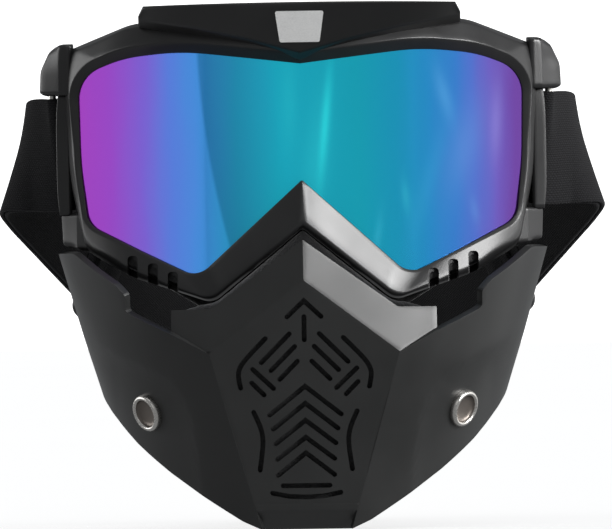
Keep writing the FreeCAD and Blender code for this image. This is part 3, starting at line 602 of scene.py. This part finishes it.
def cheek_spread(x, z):
    """The cheek's place along its round, from its X at a height."""
    return np.arcsin(np.clip(x / cheek_half(z), -1, 1))


def unrolled(line):
    """A front-view line of (X, Z) laid out along the cheek's round."""
    return np.stack([cheek_spread(*line.T) * FLAT_R, line[:, 1]], axis=1)


def cheek_point(turn, z):
    """A point on the cheek: half an ellipse in plan, then straight back."""
    half = cheek_half(z)
    round_turn = np.minimum(turn, pi / 2)
    depth = cheek_front(z) + CHEEK_ROUND * half * (1 - np.cos(round_turn))
    return half * np.sin(round_turn), depth + np.maximum(turn - pi / 2, 0) * half


def panel_depth(z):
    return -17 + 0.245 * (PANEL_TOP - z)


def fold_push(x, z):
    """How far the cheek is pressed in past the soft fold above the rivet."""
    line = even(FOLD, 80)
    gaps = np.hypot(x[..., None] - line[:, 0], z[..., None] - line[:, 1])
    near = np.argmin(gaps, axis=-1)
    along = np.gradient(line, axis=0)[near]
    side = along[..., 0] * (z - line[near, 1]) - along[..., 1] * (x - line[near, 0])
    signed = np.sign(side) * np.min(gaps, axis=-1)
    past = FOLD_SOFT * np.log1p(np.exp(np.clip(signed / FOLD_SOFT, -40, 40)))
    fade = np.clip((78 - x) / 12, 0, 1) * np.clip((z + 4) / 16, 0, 1)
    return FOLD_DEEP * (1 - np.exp(-past / FOLD_REACH)) * fade


def pressed_cheek(spread, z):
    """A point on the cheek with its fold, from its place along the unrolled round."""
    x, depth = cheek_point(spread / FLAT_R, z)
    push = fold_push(x, z)
    return x - 0.6 * push * (x / 80), depth + push


def coons(low, high, left, right):
    """A grid between four edges: low and high run across, left and right run up."""
    u = np.linspace(0, 1, len(low))[None, :, None]
    v = np.linspace(0, 1, len(left))[:, None, None]
    ruled = (1 - v) * low[None] + v * high[None] + (1 - u) * left[:, None] + u * right[:, None]
    return ruled - ((1 - v) * ((1 - u) * low[0] + u * low[-1]) + v * ((1 - u) * high[0] + u * high[-1]))


def mask_sheet():
    """The right half of the mask's outer face, as matched grids."""
    verts, faces = [], []

    def add(flat, shape):
        """A grid of (X, Z) points; shape gives their final X and their depth."""
        z = flat[..., 1]
        x, depth = shape(flat[..., 0], z)
        corners = np.arange(z.size).reshape(z.shape) + len(verts)
        verts.extend(zip(x.flat, depth.flat, z.flat))
        quads = np.stack([corners[:-1, :-1], corners[:-1, 1:], corners[1:, 1:], corners[1:, :-1]], axis=-1)
        faces.extend(tuple(int(k) for k in quad) for quad in quads.reshape(-1, 4))

    crease = even(PANEL_SIDE, 41)
    # grille panel
    share = np.append(np.linspace(0, 0.93, 24), 1)[:, None, None]
    middle = np.stack([np.zeros(41), np.linspace(9, PANEL_TOP, 41)], axis=1)
    flat = middle[None] * (1 - share) + crease[None] * share
    add(flat, lambda x, z: (x, panel_depth(z)))
    # nose plane, from the panel's top edge to its own top edge
    corner, step = PANEL_SIDE[1], CHEEK_TOP[1][:2]
    low = even([(0, PANEL_TOP), corner], 25)
    high = joined(even([NOSE_TIP, NOSE_SIDE], 17), even([NOSE_SIDE, NOSE_END], 9))
    left = np.stack([np.zeros(13), np.append(PANEL_TOP, np.linspace(88.4, NOSE_TIP[1], 12))], axis=1)
    right = joined(even([corner, step], 9), even([step, NOSE_END], 5))
    flat = coons(low, high, left, right)
    add(flat, lambda x, z: (x, -17 + 0.38 * x + 0.2566 * (z - PANEL_TOP)))
    # chin, which turns under at a crease
    base, top, turn = even([(0, 0), (15.6, 0)], 25), even([(0, 9), (18.2, 9)], 25), 6.6
    rise = np.concatenate([np.linspace(0, turn, 6)[:-1], np.linspace(turn, 9, 4)])[:, None, None] / 9
    flat = base[None] * (1 - rise) + top[None] * rise
    add(flat, lambda x, z: (x, np.maximum(panel_depth(z), 2.58 + 1.1 * (turn - z))))
    # cheek, in two grids either side of the notch for the frame
    inner = joined(even([(15.6, 0), (18.2, 9)], 9), crease)
    low_edge, top_edge = unrolled(open_fillet(CHEEK_LOW[::-1], 6)), unrolled(open_fillet(CHEEK_TOP, 7))
    behind = []
    for depth, z in CHEEK_REAR:
        half = cheek_half(z)
        past = max(0, depth - cheek_front(z) - CHEEK_ROUND * half)
        behind.append((FLAT_R * (pi / 2 + past / half), z))
    # the middles of the notch's lower and upper corners
    notch = unrolled(np.array([(61.6, 77), (62.4, 82.6)]))
    first, second = (int(np.argmin(np.linalg.norm(top_edge - mark, axis=1))) for mark in notch)
    parted = np.argmin(np.abs(low_edge[:, 0] - top_edge[first, 0] * 0.97))
    seam = even([low_edge[parted], top_edge[first]], 49)
    rise = even(top_edge[first:second + 1], 9)
    beyond = np.vstack([top_edge[second:], [behind[0]]])
    add(coons(even(low_edge[:parted + 1], 41), even(top_edge[:first + 1], 41), unrolled(inner), seam),
        pressed_cheek)
    add(coons(even(low_edge[parted:], 25), even(beyond, 25), joined(seam, rise),
              even(behind[::-1], 57)), pressed_cheek)
    return verts, faces


def cap(at, way, radius):
    """The round end of a pen line, turned from its right side to its left side."""
    way = unit(way) * radius
    right = np.array([way[1], -way[0]])
    return [at + right * cos(a) + way * sin(a) for a in np.linspace(0, pi, 8)[1:-1]]


def pen_outline(line, smooth=0):
    """The outline of a line drawn with a round pen as wide as a slot."""
    line = [np.array(p, float) for p in line]
    for _ in range(smooth):
        middle = [q for a, b in zip(line, line[1:]) for q in (a * 0.75 + b * 0.25, a * 0.25 + b * 0.75)]
        line = [line[0]] + middle[1:-1] + [line[-1]]
    legs = [unit(b - a) for a, b in zip(line, line[1:])]
    sides = []
    for one, two in zip(legs[:1] + legs, legs + legs[-1:]):
        side = np.array([one[1] + two[1], -one[0] - two[0]])
        sides.append(side * (SLOT_WIDE / float(side @ side)))
    out = [p + s for p, s in zip(line, sides)] + cap(line[-1], legs[-1], SLOT_WIDE / 2)
    return out + [p - s for p, s in zip(line, sides)][::-1] + cap(line[0], -legs[0], SLOT_WIDE / 2)


def slots(work):
    """The grille: bars across the middle, bars on each side, and one upright bar."""
    for line in SLOTS_MIDDLE:
        prism(work, pen_outline(flipped(line[:0:-1], -1) + line), *SLOT_DEPTHS)
    for line in SLOTS_SIDE:
        for way in (1, -1):
            prism(work, flipped(pen_outline(line, 3 if len(line) > 2 else 0), way), *SLOT_DEPTHS)
    prism(work, pen_outline([(0, 73.9), (0, 65.9)]), *SLOT_DEPTHS)


def mask_shell():
    verts, faces = mask_sheet()
    faces += shifted([face[::-1] for face in faces], len(verts))
    verts += flipped(verts, -1)
    made = mesh_object("mask_cover", verts, faces, MASK_BLACK, "mask", "mask_plastic", ["mask_shell"])
    with editing(made) as work:
        bmesh.ops.remove_doubles(work, verts=work.verts, dist=0.08 * MM)
        bmesh.ops.recalc_face_normals(work, faces=work.faces)
        front = min(work.faces, key=lambda face: face.calc_center_median().y)
        if front.normal.y > 0:
            bmesh.ops.reverse_faces(work, faces=work.faces)
    modified(made, "SOLIDIFY", thickness=MASK_WALL * MM, offset=-1, use_even_offset=False)
    modified(made, "BEVEL", width=CREASE_ROUND * MM, segments=4, limit_method="ANGLE", angle_limit=radians(14),
             harden_normals=False)
    cut(made, "slot_tool", slots)
    shade(made, 35)
    made.data.validate()


mask_shell()


# ---- knuckles, lugs and vents
KNUCKLE_PLAN = [(79.5, 34.6), (84.5, 36.8), (91.6, 42.5), (91.6, 54), (88, 57), (79.5, 57)]
KNUCKLE = [(79, 152.3, 0), (91.4, 152.3, 1.5), (91, 161, 7), (87.9, 167.6, 4), (84, 170.6, 1.5),
           (79, 167.6, 0)]
LUG_PLAN = [(72, 33), (79, 38), (84.6, 43), (84.6, 59), (72, 59)]
LUG = [(70, 96, 0), (77, 98, 2), (83.9, 99.5, 2), (84.4, 110.9, 1), (76, 110.9, 0)]
LUG_POCKET = [(79.2, 90), (82.4, 90), (82.4, 109), (79.2, 109)]
FLANGE_LOW, FLANGE_HIGH, FLANGE_EDGE = 110.4, 153, 85.8
VENTS = [(45.3, 90.1), (52.2, 93.1), (59.3, 95.8)]
SIDES = ((1, "right"), (-1, "left"))


def lobe(side, name, plan, front, radius, crown):
    """A moulded lobe: its plan is limited at each height by its front outline."""
    edge = outline(front, 8, 6)
    low, high = edge[:, 1].min(), edge[:, 1].max()
    heights = low + (high - low) * (0.5 - 0.5 * np.cos(np.linspace(0, pi, 21)))
    heights[[0, -1]] += 0.02, -0.02
    rings = []
    for z in heights:
        outer = max(
            x0 + (x1 - x0) * (z - z0) / (z1 - z0)
            for (x0, z0), (x1, z1) in zip(edge, np.roll(edge, -1, axis=0))
            if (z0 - z) * (z1 - z) <= 0 and abs(z1 - z0) > 1e-9
        )
        inset = crown * max(0, 1 - min(z - low, high - z) / crown) ** 2
        corners = [(min(x, outer - inset), d + (inset if d < 45 else -inset), radius) for x, d in plan]
        rings.append([(side * x, d, z) for x, d in outline(corners, 5, 3)])
    return frame_bar(name, rings)


def side_flange(side, name):
    """The thin moulded lip beside the strap, from the lug up to the knuckle."""
    stations, half = [], (FLANGE_HIGH - FLANGE_LOW) / 2
    for z in np.linspace(FLANGE_LOW, FLANGE_HIGH, 29):
        edge = FLANGE_EDGE - 0.9 * ((z - FLANGE_LOW) / half - 1) ** 4
        section = [(80.6, 41.2, 0), (81.6, 40.6, 0.6), (edge, 41.7, 0.5), (edge, 42.9, 0.5), (80.6, 42.6, 0)]
        stations.append([(side * x, d, z) for x, d in outline(section, [1, 3, 4, 4, 1], [1, 3, 1, 3, 1])])
    frame_bar(f"side_flange_{name}", stations)


def vents(work, deep=False):
    """Blind pockets in front of the lens, each opening into a deeper hole below it."""
    for side, _ in SIDES:
        for x, z in VENTS:
            top, half = (z - 1.3, 1.5) if deep else (z, 1.8)
            edge = outline(rectangle(x - half, z - 14, x + half, top, 0, 1.3), [1, 1, 6, 6], 0)
            prism(work, flipped(edge, side), -10, lambda at: bend(at) + (12.0 if deep else -0.45))


for side, name in SIDES:
    lobe(side, f"strap_knuckle_{name}", KNUCKLE_PLAN, KNUCKLE, 2.6, 1.2)
    lug = lobe(side, f"mask_lug_{name}", LUG_PLAN, LUG, 1.2, 0.9)
    cut(lug, "pocket_tool", lambda work: prism(work, flipped(LUG_POCKET, side), 50, 57.4))
    shade(lug, 40)
for side, name in SIDES:
    side_flange(side, name)
cut(frame_piece, "vent_tool", vents)
cut(frame_piece, "vent_hole_tool", partial(vents, deep=True))
shade(frame_piece, 50)


# ---- webbing and its sliders
# The band's middle line on the right side, as points and the direction of the band's width at each.
STRAP_BEND = [
    ((84.9, 47, 131.6), (0.105, 0, 1)),
    ((93.4, 52.2, 131.6), (-0.08, 0.06, 1)),
    ((98.9, 60.5, 129.8), (-0.27, 0.22, 0.94)),
    ((97.3, 70, 125.4), (-0.33, 0.38, 0.86)),
    ((92, 79, 118.5), (-0.338, 0.446, 0.829)),
]
STRAP_REAR = [
    ((52, 131.8, 73.7), (-0.338, 0.446, 0.829)),
    ((41.5, 142.4, 60.6), (-0.31, 0.40, 0.86)),
    ((31, 149.6, 46.9), (-0.26, 0.30, 0.92)),
    ((20.5, 154.3, 34), (-0.18, 0.18, 0.96)),
    ((10, 157.2, 24.2), (-0.08, 0.07, 0.99)),
    ((0, 158, 20.2), (0, 0, 1)),
]
STRAP_WIDE, STRAP_WALL = 39.6, 1.6
LOOP_RADIUS, LAYER = 2.75, 1.0      # from the middle line to a layer: round the pin, and after it
LAYERS_CLOSE = 11.0                 # the length over which the two layers close up
STEP = 1.5
SLIDER_AT = 46.0                    # along the straight run


def smooth_curve(points, first, last, steps):
    """A C2 cubic through points with given end directions, sampled evenly, with each sample's tangent."""
    points = np.array(points, float)
    knots, count = distances(points), len(points)
    system, right = np.zeros((count, count)), np.zeros((count, 3))
    system[0, 0] = system[-1, -1] = 1
    right[0], right[-1] = unit(np.array(first, float)), unit(np.array(last, float))
    for i in range(1, count - 1):
        a, b = knots[i] - knots[i - 1], knots[i + 1] - knots[i]
        system[i, i - 1:i + 2] = b, 2 * (a + b), a
        right[i] = 3 * (b * (points[i] - points[i - 1]) / a + a * (points[i + 1] - points[i]) / b)
    slopes = np.linalg.solve(system, right)
    made = []
    for at in np.linspace(0, knots[-1], steps + 1):
        leg = min(int(np.searchsorted(knots, at, side="right")) - 1, count - 2)
        span = knots[leg + 1] - knots[leg]
        t = (at - knots[leg]) / span
        ends = np.array([points[leg], slopes[leg] * span, points[leg + 1], slopes[leg + 1] * span])
        spot = np.array([2 * t**3 - 3 * t**2 + 1, t**3 - 2 * t**2 + t, 3 * t**2 - 2 * t**3, t**3 - t**2]) @ ends
        way = np.array([6 * t**2 - 6 * t, 3 * t**2 - 4 * t + 1, 6 * t - 6 * t**2, 3 * t**2 - 2 * t]) @ ends
        made.append((spot, unit(way), leg, t))
    return made


def station(middle, along, width):
    """A cross-section's middle, direction, width and outward side."""
    along, width = unit(np.array(along, float)), np.array(width, float)
    width = unit(width - along * (width @ along))
    return np.array(middle, float), along, width, np.cross(along, width)


def marked_stations(marks, first, last, steps):
    made = []
    for spot, way, leg, share in smooth_curve([p for p, _ in marks], first, last, steps):
        width = np.array(marks[leg][1]) * (1 - share) + np.array(marks[leg + 1][1]) * share
        made.append(station(spot, way, width))
    return made


RUN_FROM, RUN_TO = np.array(STRAP_BEND[-1][0]), np.array(STRAP_REAR[0][0])
RUN_ALONG = unit(RUN_TO - RUN_FROM)


def run_station(at):
    """The band's cross-section at a length along its straight run."""
    return station(RUN_FROM + RUN_ALONG * at, RUN_ALONG, STRAP_BEND[-1][1])


BEND = marked_stations(STRAP_BEND, (0.8, 0.6, -0.084), RUN_ALONG, 44)
RUN = [run_station(at) for at in np.arange(STEP, 78, STEP)]
REAR = marked_stations(STRAP_REAR, RUN_ALONG, (-1, 0, 0), 60)
SLIDER = run_station(SLIDER_AT)


def layer_offset(spot):
    """How far a layer is from the middle line: wide at the pin, closed after it."""
    ease = min(1, length(spot - BEND[0][0]) / LAYERS_CLOSE)
    ease = ease * ease * (3 - 2 * ease)
    return LOOP_RADIUS * (1 - ease) + LAYER * ease


def band_object(name, stations, offsets, body, nodes, wall=STRAP_WALL, side=1):
    """A woven band with rounded selvedges, and its length and width kept as UVs in metres."""
    edge = outline(rectangle(-STRAP_WIDE / 2, -wall / 2, STRAP_WIDE / 2, wall / 2, 0.7), 4, [16, 0, 16, 0])
    rings, places, travelled, before = [], [], 0, None
    for (middle, along, width, out), offset in zip(stations, offsets):
        spot = middle + out * offset
        if before is not None:
            travelled += length(spot - before)
        before = spot
        ring = []
        for across, high in edge:
            p = middle + width * across + out * (offset + high)
            ring.append(p * (side, 1, 1))
            places.append((travelled * MM, across * MM))
        rings.append(ring)
    made = bar_object(name, rings, WEBBING, body, "webbing", nodes)
    layer = made.data.uv_layers.new(name="weave")
    for loop in made.data.loops:
        layer.data[loop.index].uv = places[loop.vertex_index]
    return made


def head_strap():
    """The band from one side to the other, with its end round each pin."""
    start, along, width, out = BEND[0]
    half = []
    for turn in np.linspace(pi, 0, 17)[:-1]:
        radial = out * cos(turn) - along * sin(turn)
        half.append((start, np.cross(width, radial), width, radial))
    offsets = [LOOP_RADIUS] * len(half) + [layer_offset(s[0]) for s in BEND] + [LAYER] * len(RUN + REAR)
    half += BEND + RUN + REAR
    flip = np.array([-1, 1, 1])
    other = [(m * flip, -a * flip, w * flip, o * flip) for m, a, w, o in half[:-1]]
    band_object("head_webbing", half + other[::-1], offsets + offsets[-2::-1], "goggles", ["head_strap"])


def slider_point(t, w, n, side):
    """A point in the slider's own frame: along the webbing, over its width, outwards."""
    middle, along, width, out = SLIDER
    return (middle + along * t + width * w + out * n) * (side, 1, 1)


def slider(side, name):
    """A moulded slide: a rounded frame of D-shaped bars and a middle bar."""
    path = outline(rectangle(-5.4, -21.6, 5.4, 21.6, 2.4), 7, [3, 14, 3, 14])
    section = outline(rectangle(-1.6, 2.1, 1.6, 4, 0.5, 0.8), 4, 1)
    verts = []
    for k, spot in enumerate(path):
        way = path[(k + 1) % len(path)] - path[k - 1]
        outward = unit(np.array([way[1], -way[0]]))
        rail = np.clip((abs(spot[1]) - 20.3) / 1, 0, 1)
        for across, high in section:
            p = spot + outward * across * (1 - 0.12 * rail)
            verts.append(slider_point(p[0], p[1], high if high > 3 else high - 5.2 * rail, side))
    faces = tube_faces(len(path), len(section))
    bar, ends = outline(rectangle(-1.5, -3.1, 1.5, -1.5, 0.6), 4, 1), np.linspace(-21.2, 21.2, 21)
    faces += shifted(bar_faces(len(ends), len(bar)), len(verts))
    verts += [slider_point(t, w, n, side) for w in ends for t, n in bar]
    made = mesh_object(f"slider_{name}", verts, faces, SLIDER_BLACK, f"slider_{name}", "slider_plastic",
                       [f"strap_adjuster_{name}"])
    shade(made, 50)


def strap_return(side, name):
    """The band's inner layer, from the pin to the slider, and where it ends."""
    last = SLIDER_AT - 14.4
    stations = BEND + [run_station(at) for at in [*np.arange(STEP, last, STEP), last]]
    made = band_object(f"return_webbing_{name}", stations, [-layer_offset(s[0]) for s in stations], None,
                       [f"strap_return_{name}"], side=side)
    return made, stations[-1][0]


def stitch(verts, faces, start, end, level, side, radius=0.28):
    """One sunk stitch: a short arched thread with six sides."""
    start, way = np.array(start), np.array(end) - np.array(start)
    across = unit(np.array([-way[1], way[0]]))
    faces += shifted(bar_faces(7, 6), len(verts))
    sign = 1 if level > -2 else -1
    for share in np.linspace(0, 1, 7):
        lift = sign * (sin(pi * share) * 0.32 - 0.22)
        thick = radius * (0.45 + 0.55 * sin(pi * share))
        for a in np.arange(6) * pi / 3:
            p = start + way * share + across * thick * cos(a)
            verts.append(slider_point(p[0], p[1], level + lift + thick * sin(a), side))


def strap_end(side, name):
    """The band's sewn end: doubled round the slider's middle bar, with a stitched box."""
    path = [(-14, -1.1), (-6, -1.1), (0, -0.75), (1.9, -0.85), (2.95, -1.6), (3, -2.6), (2.4, -3.4),
            (0.6, -3.85), (-2.2, -3.75), (-4.2, -3), (-6, -2.75), (-9, -2.75)]
    base, along, width, out = SLIDER
    stations = []
    for spot, way, _, _ in smooth_curve([(t, n, 0) for t, n in path], (1, 0, 0), (-1, 0, 0), 60):
        stations.append(station(base + along * spot[0] + out * spot[1], along * way[0] + out * way[1], width))
    band_object(f"sewn_end_{name}", stations, [0] * len(stations), f"slider_{name}", [f"strap_end_{name}"],
                wall=1.45, side=side)
    verts, faces = [], []
    near, far, edge, stitch_step = -8.6, -5, 17.5, 2.4
    rows = [((near, -edge), (near, edge)), ((far, -edge), (far, edge)), ((near, -edge), (far, -edge)),
            ((near, edge), (far, edge))]
    for level in (-3.52, -0.34):
        for start, end in np.array(rows):
            count = max(1, round(hypot(*(end - start)) / stitch_step))
            for k in range(count):
                a, b = (start + (end - start) * (k + share) / count for share in (0.12, 0.88))
                stitch(verts, faces, a, b, level, side)
    made = mesh_object(f"stitching_{name}", verts, faces, THREAD, f"slider_{name}", "webbing")
    made.data.uv_layers.new(name="weave")


head_strap()
for side, name in SIDES:
    slider(side, name)
    strap_end(side, name)
    band, last = strap_return(side, name)
    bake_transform(band)


# ---- foam and fleece
FRAME_HALF = [
    (0, 104.6, 0), (31.5, 79, 6), (62.3, 89.6, 30), (75.3, 97.6, 9), (80, 113, 30), (82.6, 135, 60),
    (82.8, 167.6, 3), (57, 176.8, 20), (0, 178.6, 0),
]
FOAM_NOSE = [(0, 101.4, 0), (32.2, 75.4, 8)]
RIM_ARCS, RIM_EDGES = [1, 10, 6, 10, 5, 5, 7, 6, 1], [18, 10, 5, 6, 8, 12, 10, 20]
CUSHION_FRONT = 26.15       # depth of the cushion's front, at the middle
FOAM_SECTION = [(0, 0, 1), (0, 11.6, 2.6), (1, 11.6, 2.6), (1, 0, 1)]
FLEECE_SECTION = [(0, 10.2, 0.4), (0.03, 14.1, 2.4), (0.97, 14.1, 2.4), (1, 10.2, 0.4), (0.86, 11.9, 1.5),
                  (0.14, 11.9, 1.5)]


def grown(points, by):
    """The outline with every side moved outwards, and its corner radii with it."""
    flat = [np.array(p[:2], float) for p in points]
    out = copysign(1, sum(a[0] * b[1] - b[0] * a[1] for a, b in zip(flat, flat[1:] + flat[:1])))
    made = []
    for i, here in enumerate(points):
        one, two = unit(flat[i] - flat[i - 1]), unit(flat[(i + 1) % len(flat)] - flat[i])
        turn = (one[0] * two[1] - one[1] * two[0]) * out
        half = np.array([one[1] + two[1], -one[0] - two[0]]) * out
        spot = flat[i] + half * (2 * by / float(half @ half))
        radius = here[2] + (by if turn > 0 else -by) if here[2] else 0
        made.append((spot[0], spot[1], max(radius, 0)))
    return made


def ruffled(made, size, depth, seed):
    """The uneven surface of soft foam: each point is moved a little along its normal. Sizes are in mm."""
    for vertex, normal in zip(made.data.vertices, [v.normal.copy() for v in made.data.vertices]):
        spot = vertex.co / (size * MM) + Vector((seed, 0, 0))
        vertex.co += normal * depth * MM * fine_noise.noise(spot)


def rim_pad(name, near, far, section, mat, slot, node, ruffle):
    """A padded ring round the eyes. The section is (share across, depth behind the front, radius)."""
    arcs, edges = RIM_ARCS + RIM_ARCS[-2:0:-1], RIM_EDGES + RIM_EDGES[::-1]
    whole = mirrored(FRAME_HALF)
    outer = outline(mirrored(FOAM_NOSE + grown(whole, -near)[2:len(FRAME_HALF)]), arcs, edges)
    inner = outline(grown(whole, -far), arcs, edges)
    verts = []
    for a, b in zip(outer, inner):
        span = length(b - a)
        front = CUSHION_FRONT + (float(bend(a[0])) + float(bend(b[0]))) / 2
        profile = outline([(share * span, deep, radius) for share, deep, radius in section], 5, 4)
        for along, deep in profile:
            p = a + (b - a) * (along / span)
            verts.append((p[0], front + deep, p[1]))
    made = mesh_object(name, verts, tube_faces(len(outer), len(profile)), mat, "goggles", slot, [node])
    ruffled(made, *ruffle)


def swell(made, cap, frames=20):
    """Cloth under inner pressure, with each point's travel capped, in mm."""
    before = [v.co.copy() for v in made.data.vertices]
    cloth = made.modifiers.new("cloth", "CLOTH")
    assign(cloth.settings, quality=6, mass=0.2, use_pressure=True, uniform_pressure_force=4)
    cloth.settings.effector_weights.gravity = 0
    cloth.collision_settings.use_collision = False
    assign(cloth.point_cache, frame_start=1, frame_end=frames)
    for frame_number in range(1, frames + 1):
        bpy.context.scene.frame_set(frame_number)
    applied(made)
    bpy.context.scene.frame_set(1)
    for vertex, start in zip(made.data.vertices, before):
        move = vertex.co - start
        if move.length > cap * MM:
            vertex.co = start + move.normalized() * cap * MM


def pillow(name, voxel, seed):
    """A foam pad: the pad's volume remeshed, softened, swollen by cloth pressure and ruffled."""
    solid = NODES[f"mask_{name}"]
    made = placed(name, solid.data.copy())
    made.matrix_world = solid.matrix_world
    made.data.materials.clear()
    made.data.materials.append(PAD_FOAM)
    modified(made, "REMESH", mode="VOXEL", voxel_size=voxel * MM)
    modified(made, "SMOOTH", factor=0.5, iterations=5)
    swell(made, 1.2)
    modified(made, "SUBSURF", levels=1, render_levels=1)
    ruffled(made, 2.2, 0.12, seed)
    made.data.shade_smooth()
    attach(made, "mask")
    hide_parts(solid.name)


rim_pad("face_foam_ring", 3.2, 13.9, FOAM_SECTION, PAD_FOAM, "face_foam", "face_foam", (2.2, 0.25, 3.1))
rim_pad("face_fleece_ring", 2.9, 14.2, FLEECE_SECTION, FLEECE, "fleece", "face_fleece", (3.5, 0.4, 7.7))
pillow("nose_pad", 1.7, 11)
pillow("chin_pad", 1.3, 12)
pillow("cheek_pad_right", 0.9, 13)
pillow("cheek_pad_left", 0.9, 14)


# ---- rivets
RIVET_X, RIVET_Z = 55.3, 41.3
RIVET_PROFILE = [       # radius and height above the cheek
    (0.001, 0.5), (1.9, 0.52), (3.5, 0.6), (4.4, 0.8), (4.72, 1.15), (4.88, 1.6), (5.08, 1.95), (5.35, 2.1),
    (5.65, 2.12), (5.95, 2.05), (6.25, 1.85), (6.5, 1.4), (6.6, 0.9), (6.6, 0.2), (6.5, -0.6), (5.6, -1.2),
    (1.7, -1.2), (1.7, -12.2), (0.001, -12.2),
]
RIVET_AROUND, RIVET_CUP = 48, 4.85


def rivet_axes(side, step=0.05):
    """The rivet's middle on the pressed-in cheek, and its right, up and outward directions."""
    x, z = np.array(RIVET_X), np.array(RIVET_Z)

    def depth(x, z):
        return cheek_point(cheek_spread(x, z), z)[1]

    across = (depth(x + step, z) - depth(x - step, z)) / (2 * step)
    up = (depth(x, z + step) - depth(x, z - step)) / (2 * step)
    normal = unit(np.array([side * across, -1, up]))
    right = unit(np.cross([0, 0, 1], normal))
    spot, sunk = pressed_cheek(cheek_spread(x, z) * FLAT_R, z)
    return np.array([side * spot, sunk, z]), right, np.cross(normal, right), normal


def rivet(side, name):
    """A cupped rivet: rolled rim, sunk dull middle with a soft ring, and a post."""
    centre, right, up, normal = rivet_axes(side)
    verts = []
    for radius, high in RIVET_PROFILE:
        for a in np.arange(RIVET_AROUND) * 2 * pi / RIVET_AROUND:
            wobble = 0.03 * sin(3 * a + side) * (radius > 4)
            verts.append(centre + (right * cos(a) + up * sin(a)) * (radius + wobble) + normal * high)
    faces = tube_faces(len(RIVET_PROFILE), RIVET_AROUND, closed=False)
    made = mesh_object(f"rivet_{name}", verts, faces, STEEL, "mask", "steel", ["rivets"])
    made.data.materials.append(DULL_STEEL)
    middle, out = Vector(metres(*centre)), Vector(normal)
    for polygon in made.data.polygons:
        offset = polygon.center - middle
        high = offset.dot(out)
        if high > 0.3 * MM and (offset - out * high).length < RIVET_CUP * MM:
            polygon.material_index = 1
    with editing(made) as work:
        bmesh.ops.remove_doubles(work, verts=work.verts, dist=0.01 * MM)
    shade(made, 50)


for side, name in SIDES:
    rivet(side, name)


# ---- stage, light and camera
STAGE_R, STAGE_DROP, AROUND = 8.8, 0.0003, 64       # metres
FLOOR_GLOW, DOME_GLOW = 0.74, 1.0
TARGET = (0, -0.03, 0.11)                           # metres


def stage_object(name, verts, faces, glow):
    """A pale stage surface with faint clouds, a little brighter than its light."""
    mesh = bpy.data.meshes.new(name)
    mesh.from_pydata(verts, [], faces)
    made = placed(name, mesh)
    f = Finish(name + "_paper")
    f.tint(f.noise(3), (0.80,) * 3, (0.84,) * 3)
    f.set(Roughness=0.9, Specular_IOR_Level=0, Emission_Color=(1, 1, 1, 1), Emission_Strength=glow)
    mesh.materials.append(f.material)
    return made


def stage_ring(lift):
    """A ring of the dome at an angle above the floor."""
    turns = np.linspace(0, 2 * pi, AROUND + 1)[:-1]
    return [(STAGE_R * cos(a) * cos(lift), STAGE_R * sin(a) * cos(lift), STAGE_R * sin(lift) - STAGE_DROP)
            for a in turns]


def stage():
    """A round pale floor, and a far pale dome that only the camera sees."""
    floor = stage_object("studio_floor", stage_ring(0), [tuple(range(AROUND))], FLOOR_GLOW)
    floor.visible_glossy = False
    verts = [point for lift in np.linspace(0, pi / 2 - 0.01, 12) for point in stage_ring(lift)]
    dome = stage_object("studio_dome", verts, tube_faces(12, AROUND, closed=False), DOME_GLOW)
    dome.visible_diffuse = dome.visible_glossy = dome.visible_transmission = dome.visible_shadow = False


def softbox(name, azimuth, elevation, distance, size, radiance, lit):
    """A softbox at an angle from the front, turned to the goggles, that lights some objects alone."""
    light = bpy.data.lights.new(name, "AREA")
    light.shape = "RECTANGLE"
    light.size, light.size_y = size
    light.energy = radiance * pi * size[0] * size[1]
    made = placed(name, light)
    a, e = radians(azimuth), radians(elevation)
    made.location = (distance * cos(e) * sin(a), -distance * cos(e) * cos(a), TARGET[2] + distance * sin(e))
    made.rotation_euler = (Vector(TARGET) - made.location).to_track_quat("-Z", "Y").to_euler()
    made.visible_camera = False
    group = bpy.data.collections.new(name + "_receivers")
    for thing in lit:
        group.objects.link(thing)
    made.light_linking.receiver_collection = group


stage()
not_lit = ("lens", "studio_floor", "studio_dome")
hard_parts = [o for o in bpy.data.objects if o.type == "MESH" and o.name not in not_lit]
key_parts = [o for o in hard_parts if o.name not in ("brow_bar", "nose_pad")]
softbox("key_right", 60, 19, 1.6, (0.9, 0.6), 30, key_parts)
softbox("side_right", 104, 4, 1.6, (1.5, 1.2), 1.3, hard_parts)
softbox("side_left", -104, 10, 1.6, (1.1, 0.9), 2.9, hard_parts)
softbox("top", 8, 78, 1.5, (1.4, 0.9), 1.5, hard_parts)
softbox("front", -8, 20, 2.9, (1.6, 1.2), 0.45, hard_parts)
softbox("lens_left", -70, 2, 1.8, (2.35, 2), 0.74, [NODES["lens"]])
softbox("lens_front", 3.6, 4, 2.9, (4.9, 2.8), 0.56, [NODES["lens"]])
softbox("lens_right", 74.4, 2, 1.8, (2.2, 2), 0.57, [NODES["lens"]])

world = bpy.data.worlds.new("studio")
world.use_nodes = True
background = world.node_tree.nodes["Background"]
background.inputs["Color"].default_value = (0.96, 0.98, 1, 1)
background.inputs["Strength"].default_value = 0.32
bpy.context.scene.world = world
bpy.context.scene.view_settings.view_transform = "Standard"

camera = bpy.data.cameras.new("camera")
assign(camera, sensor_width=36, lens=666.6, clip_end=20)
eye = placed("camera", camera)
eye.location = (0.001, -4, 0.0919)
eye.rotation_euler = (radians(90), radians(0.9), 0)
bpy.context.scene.camera = eye
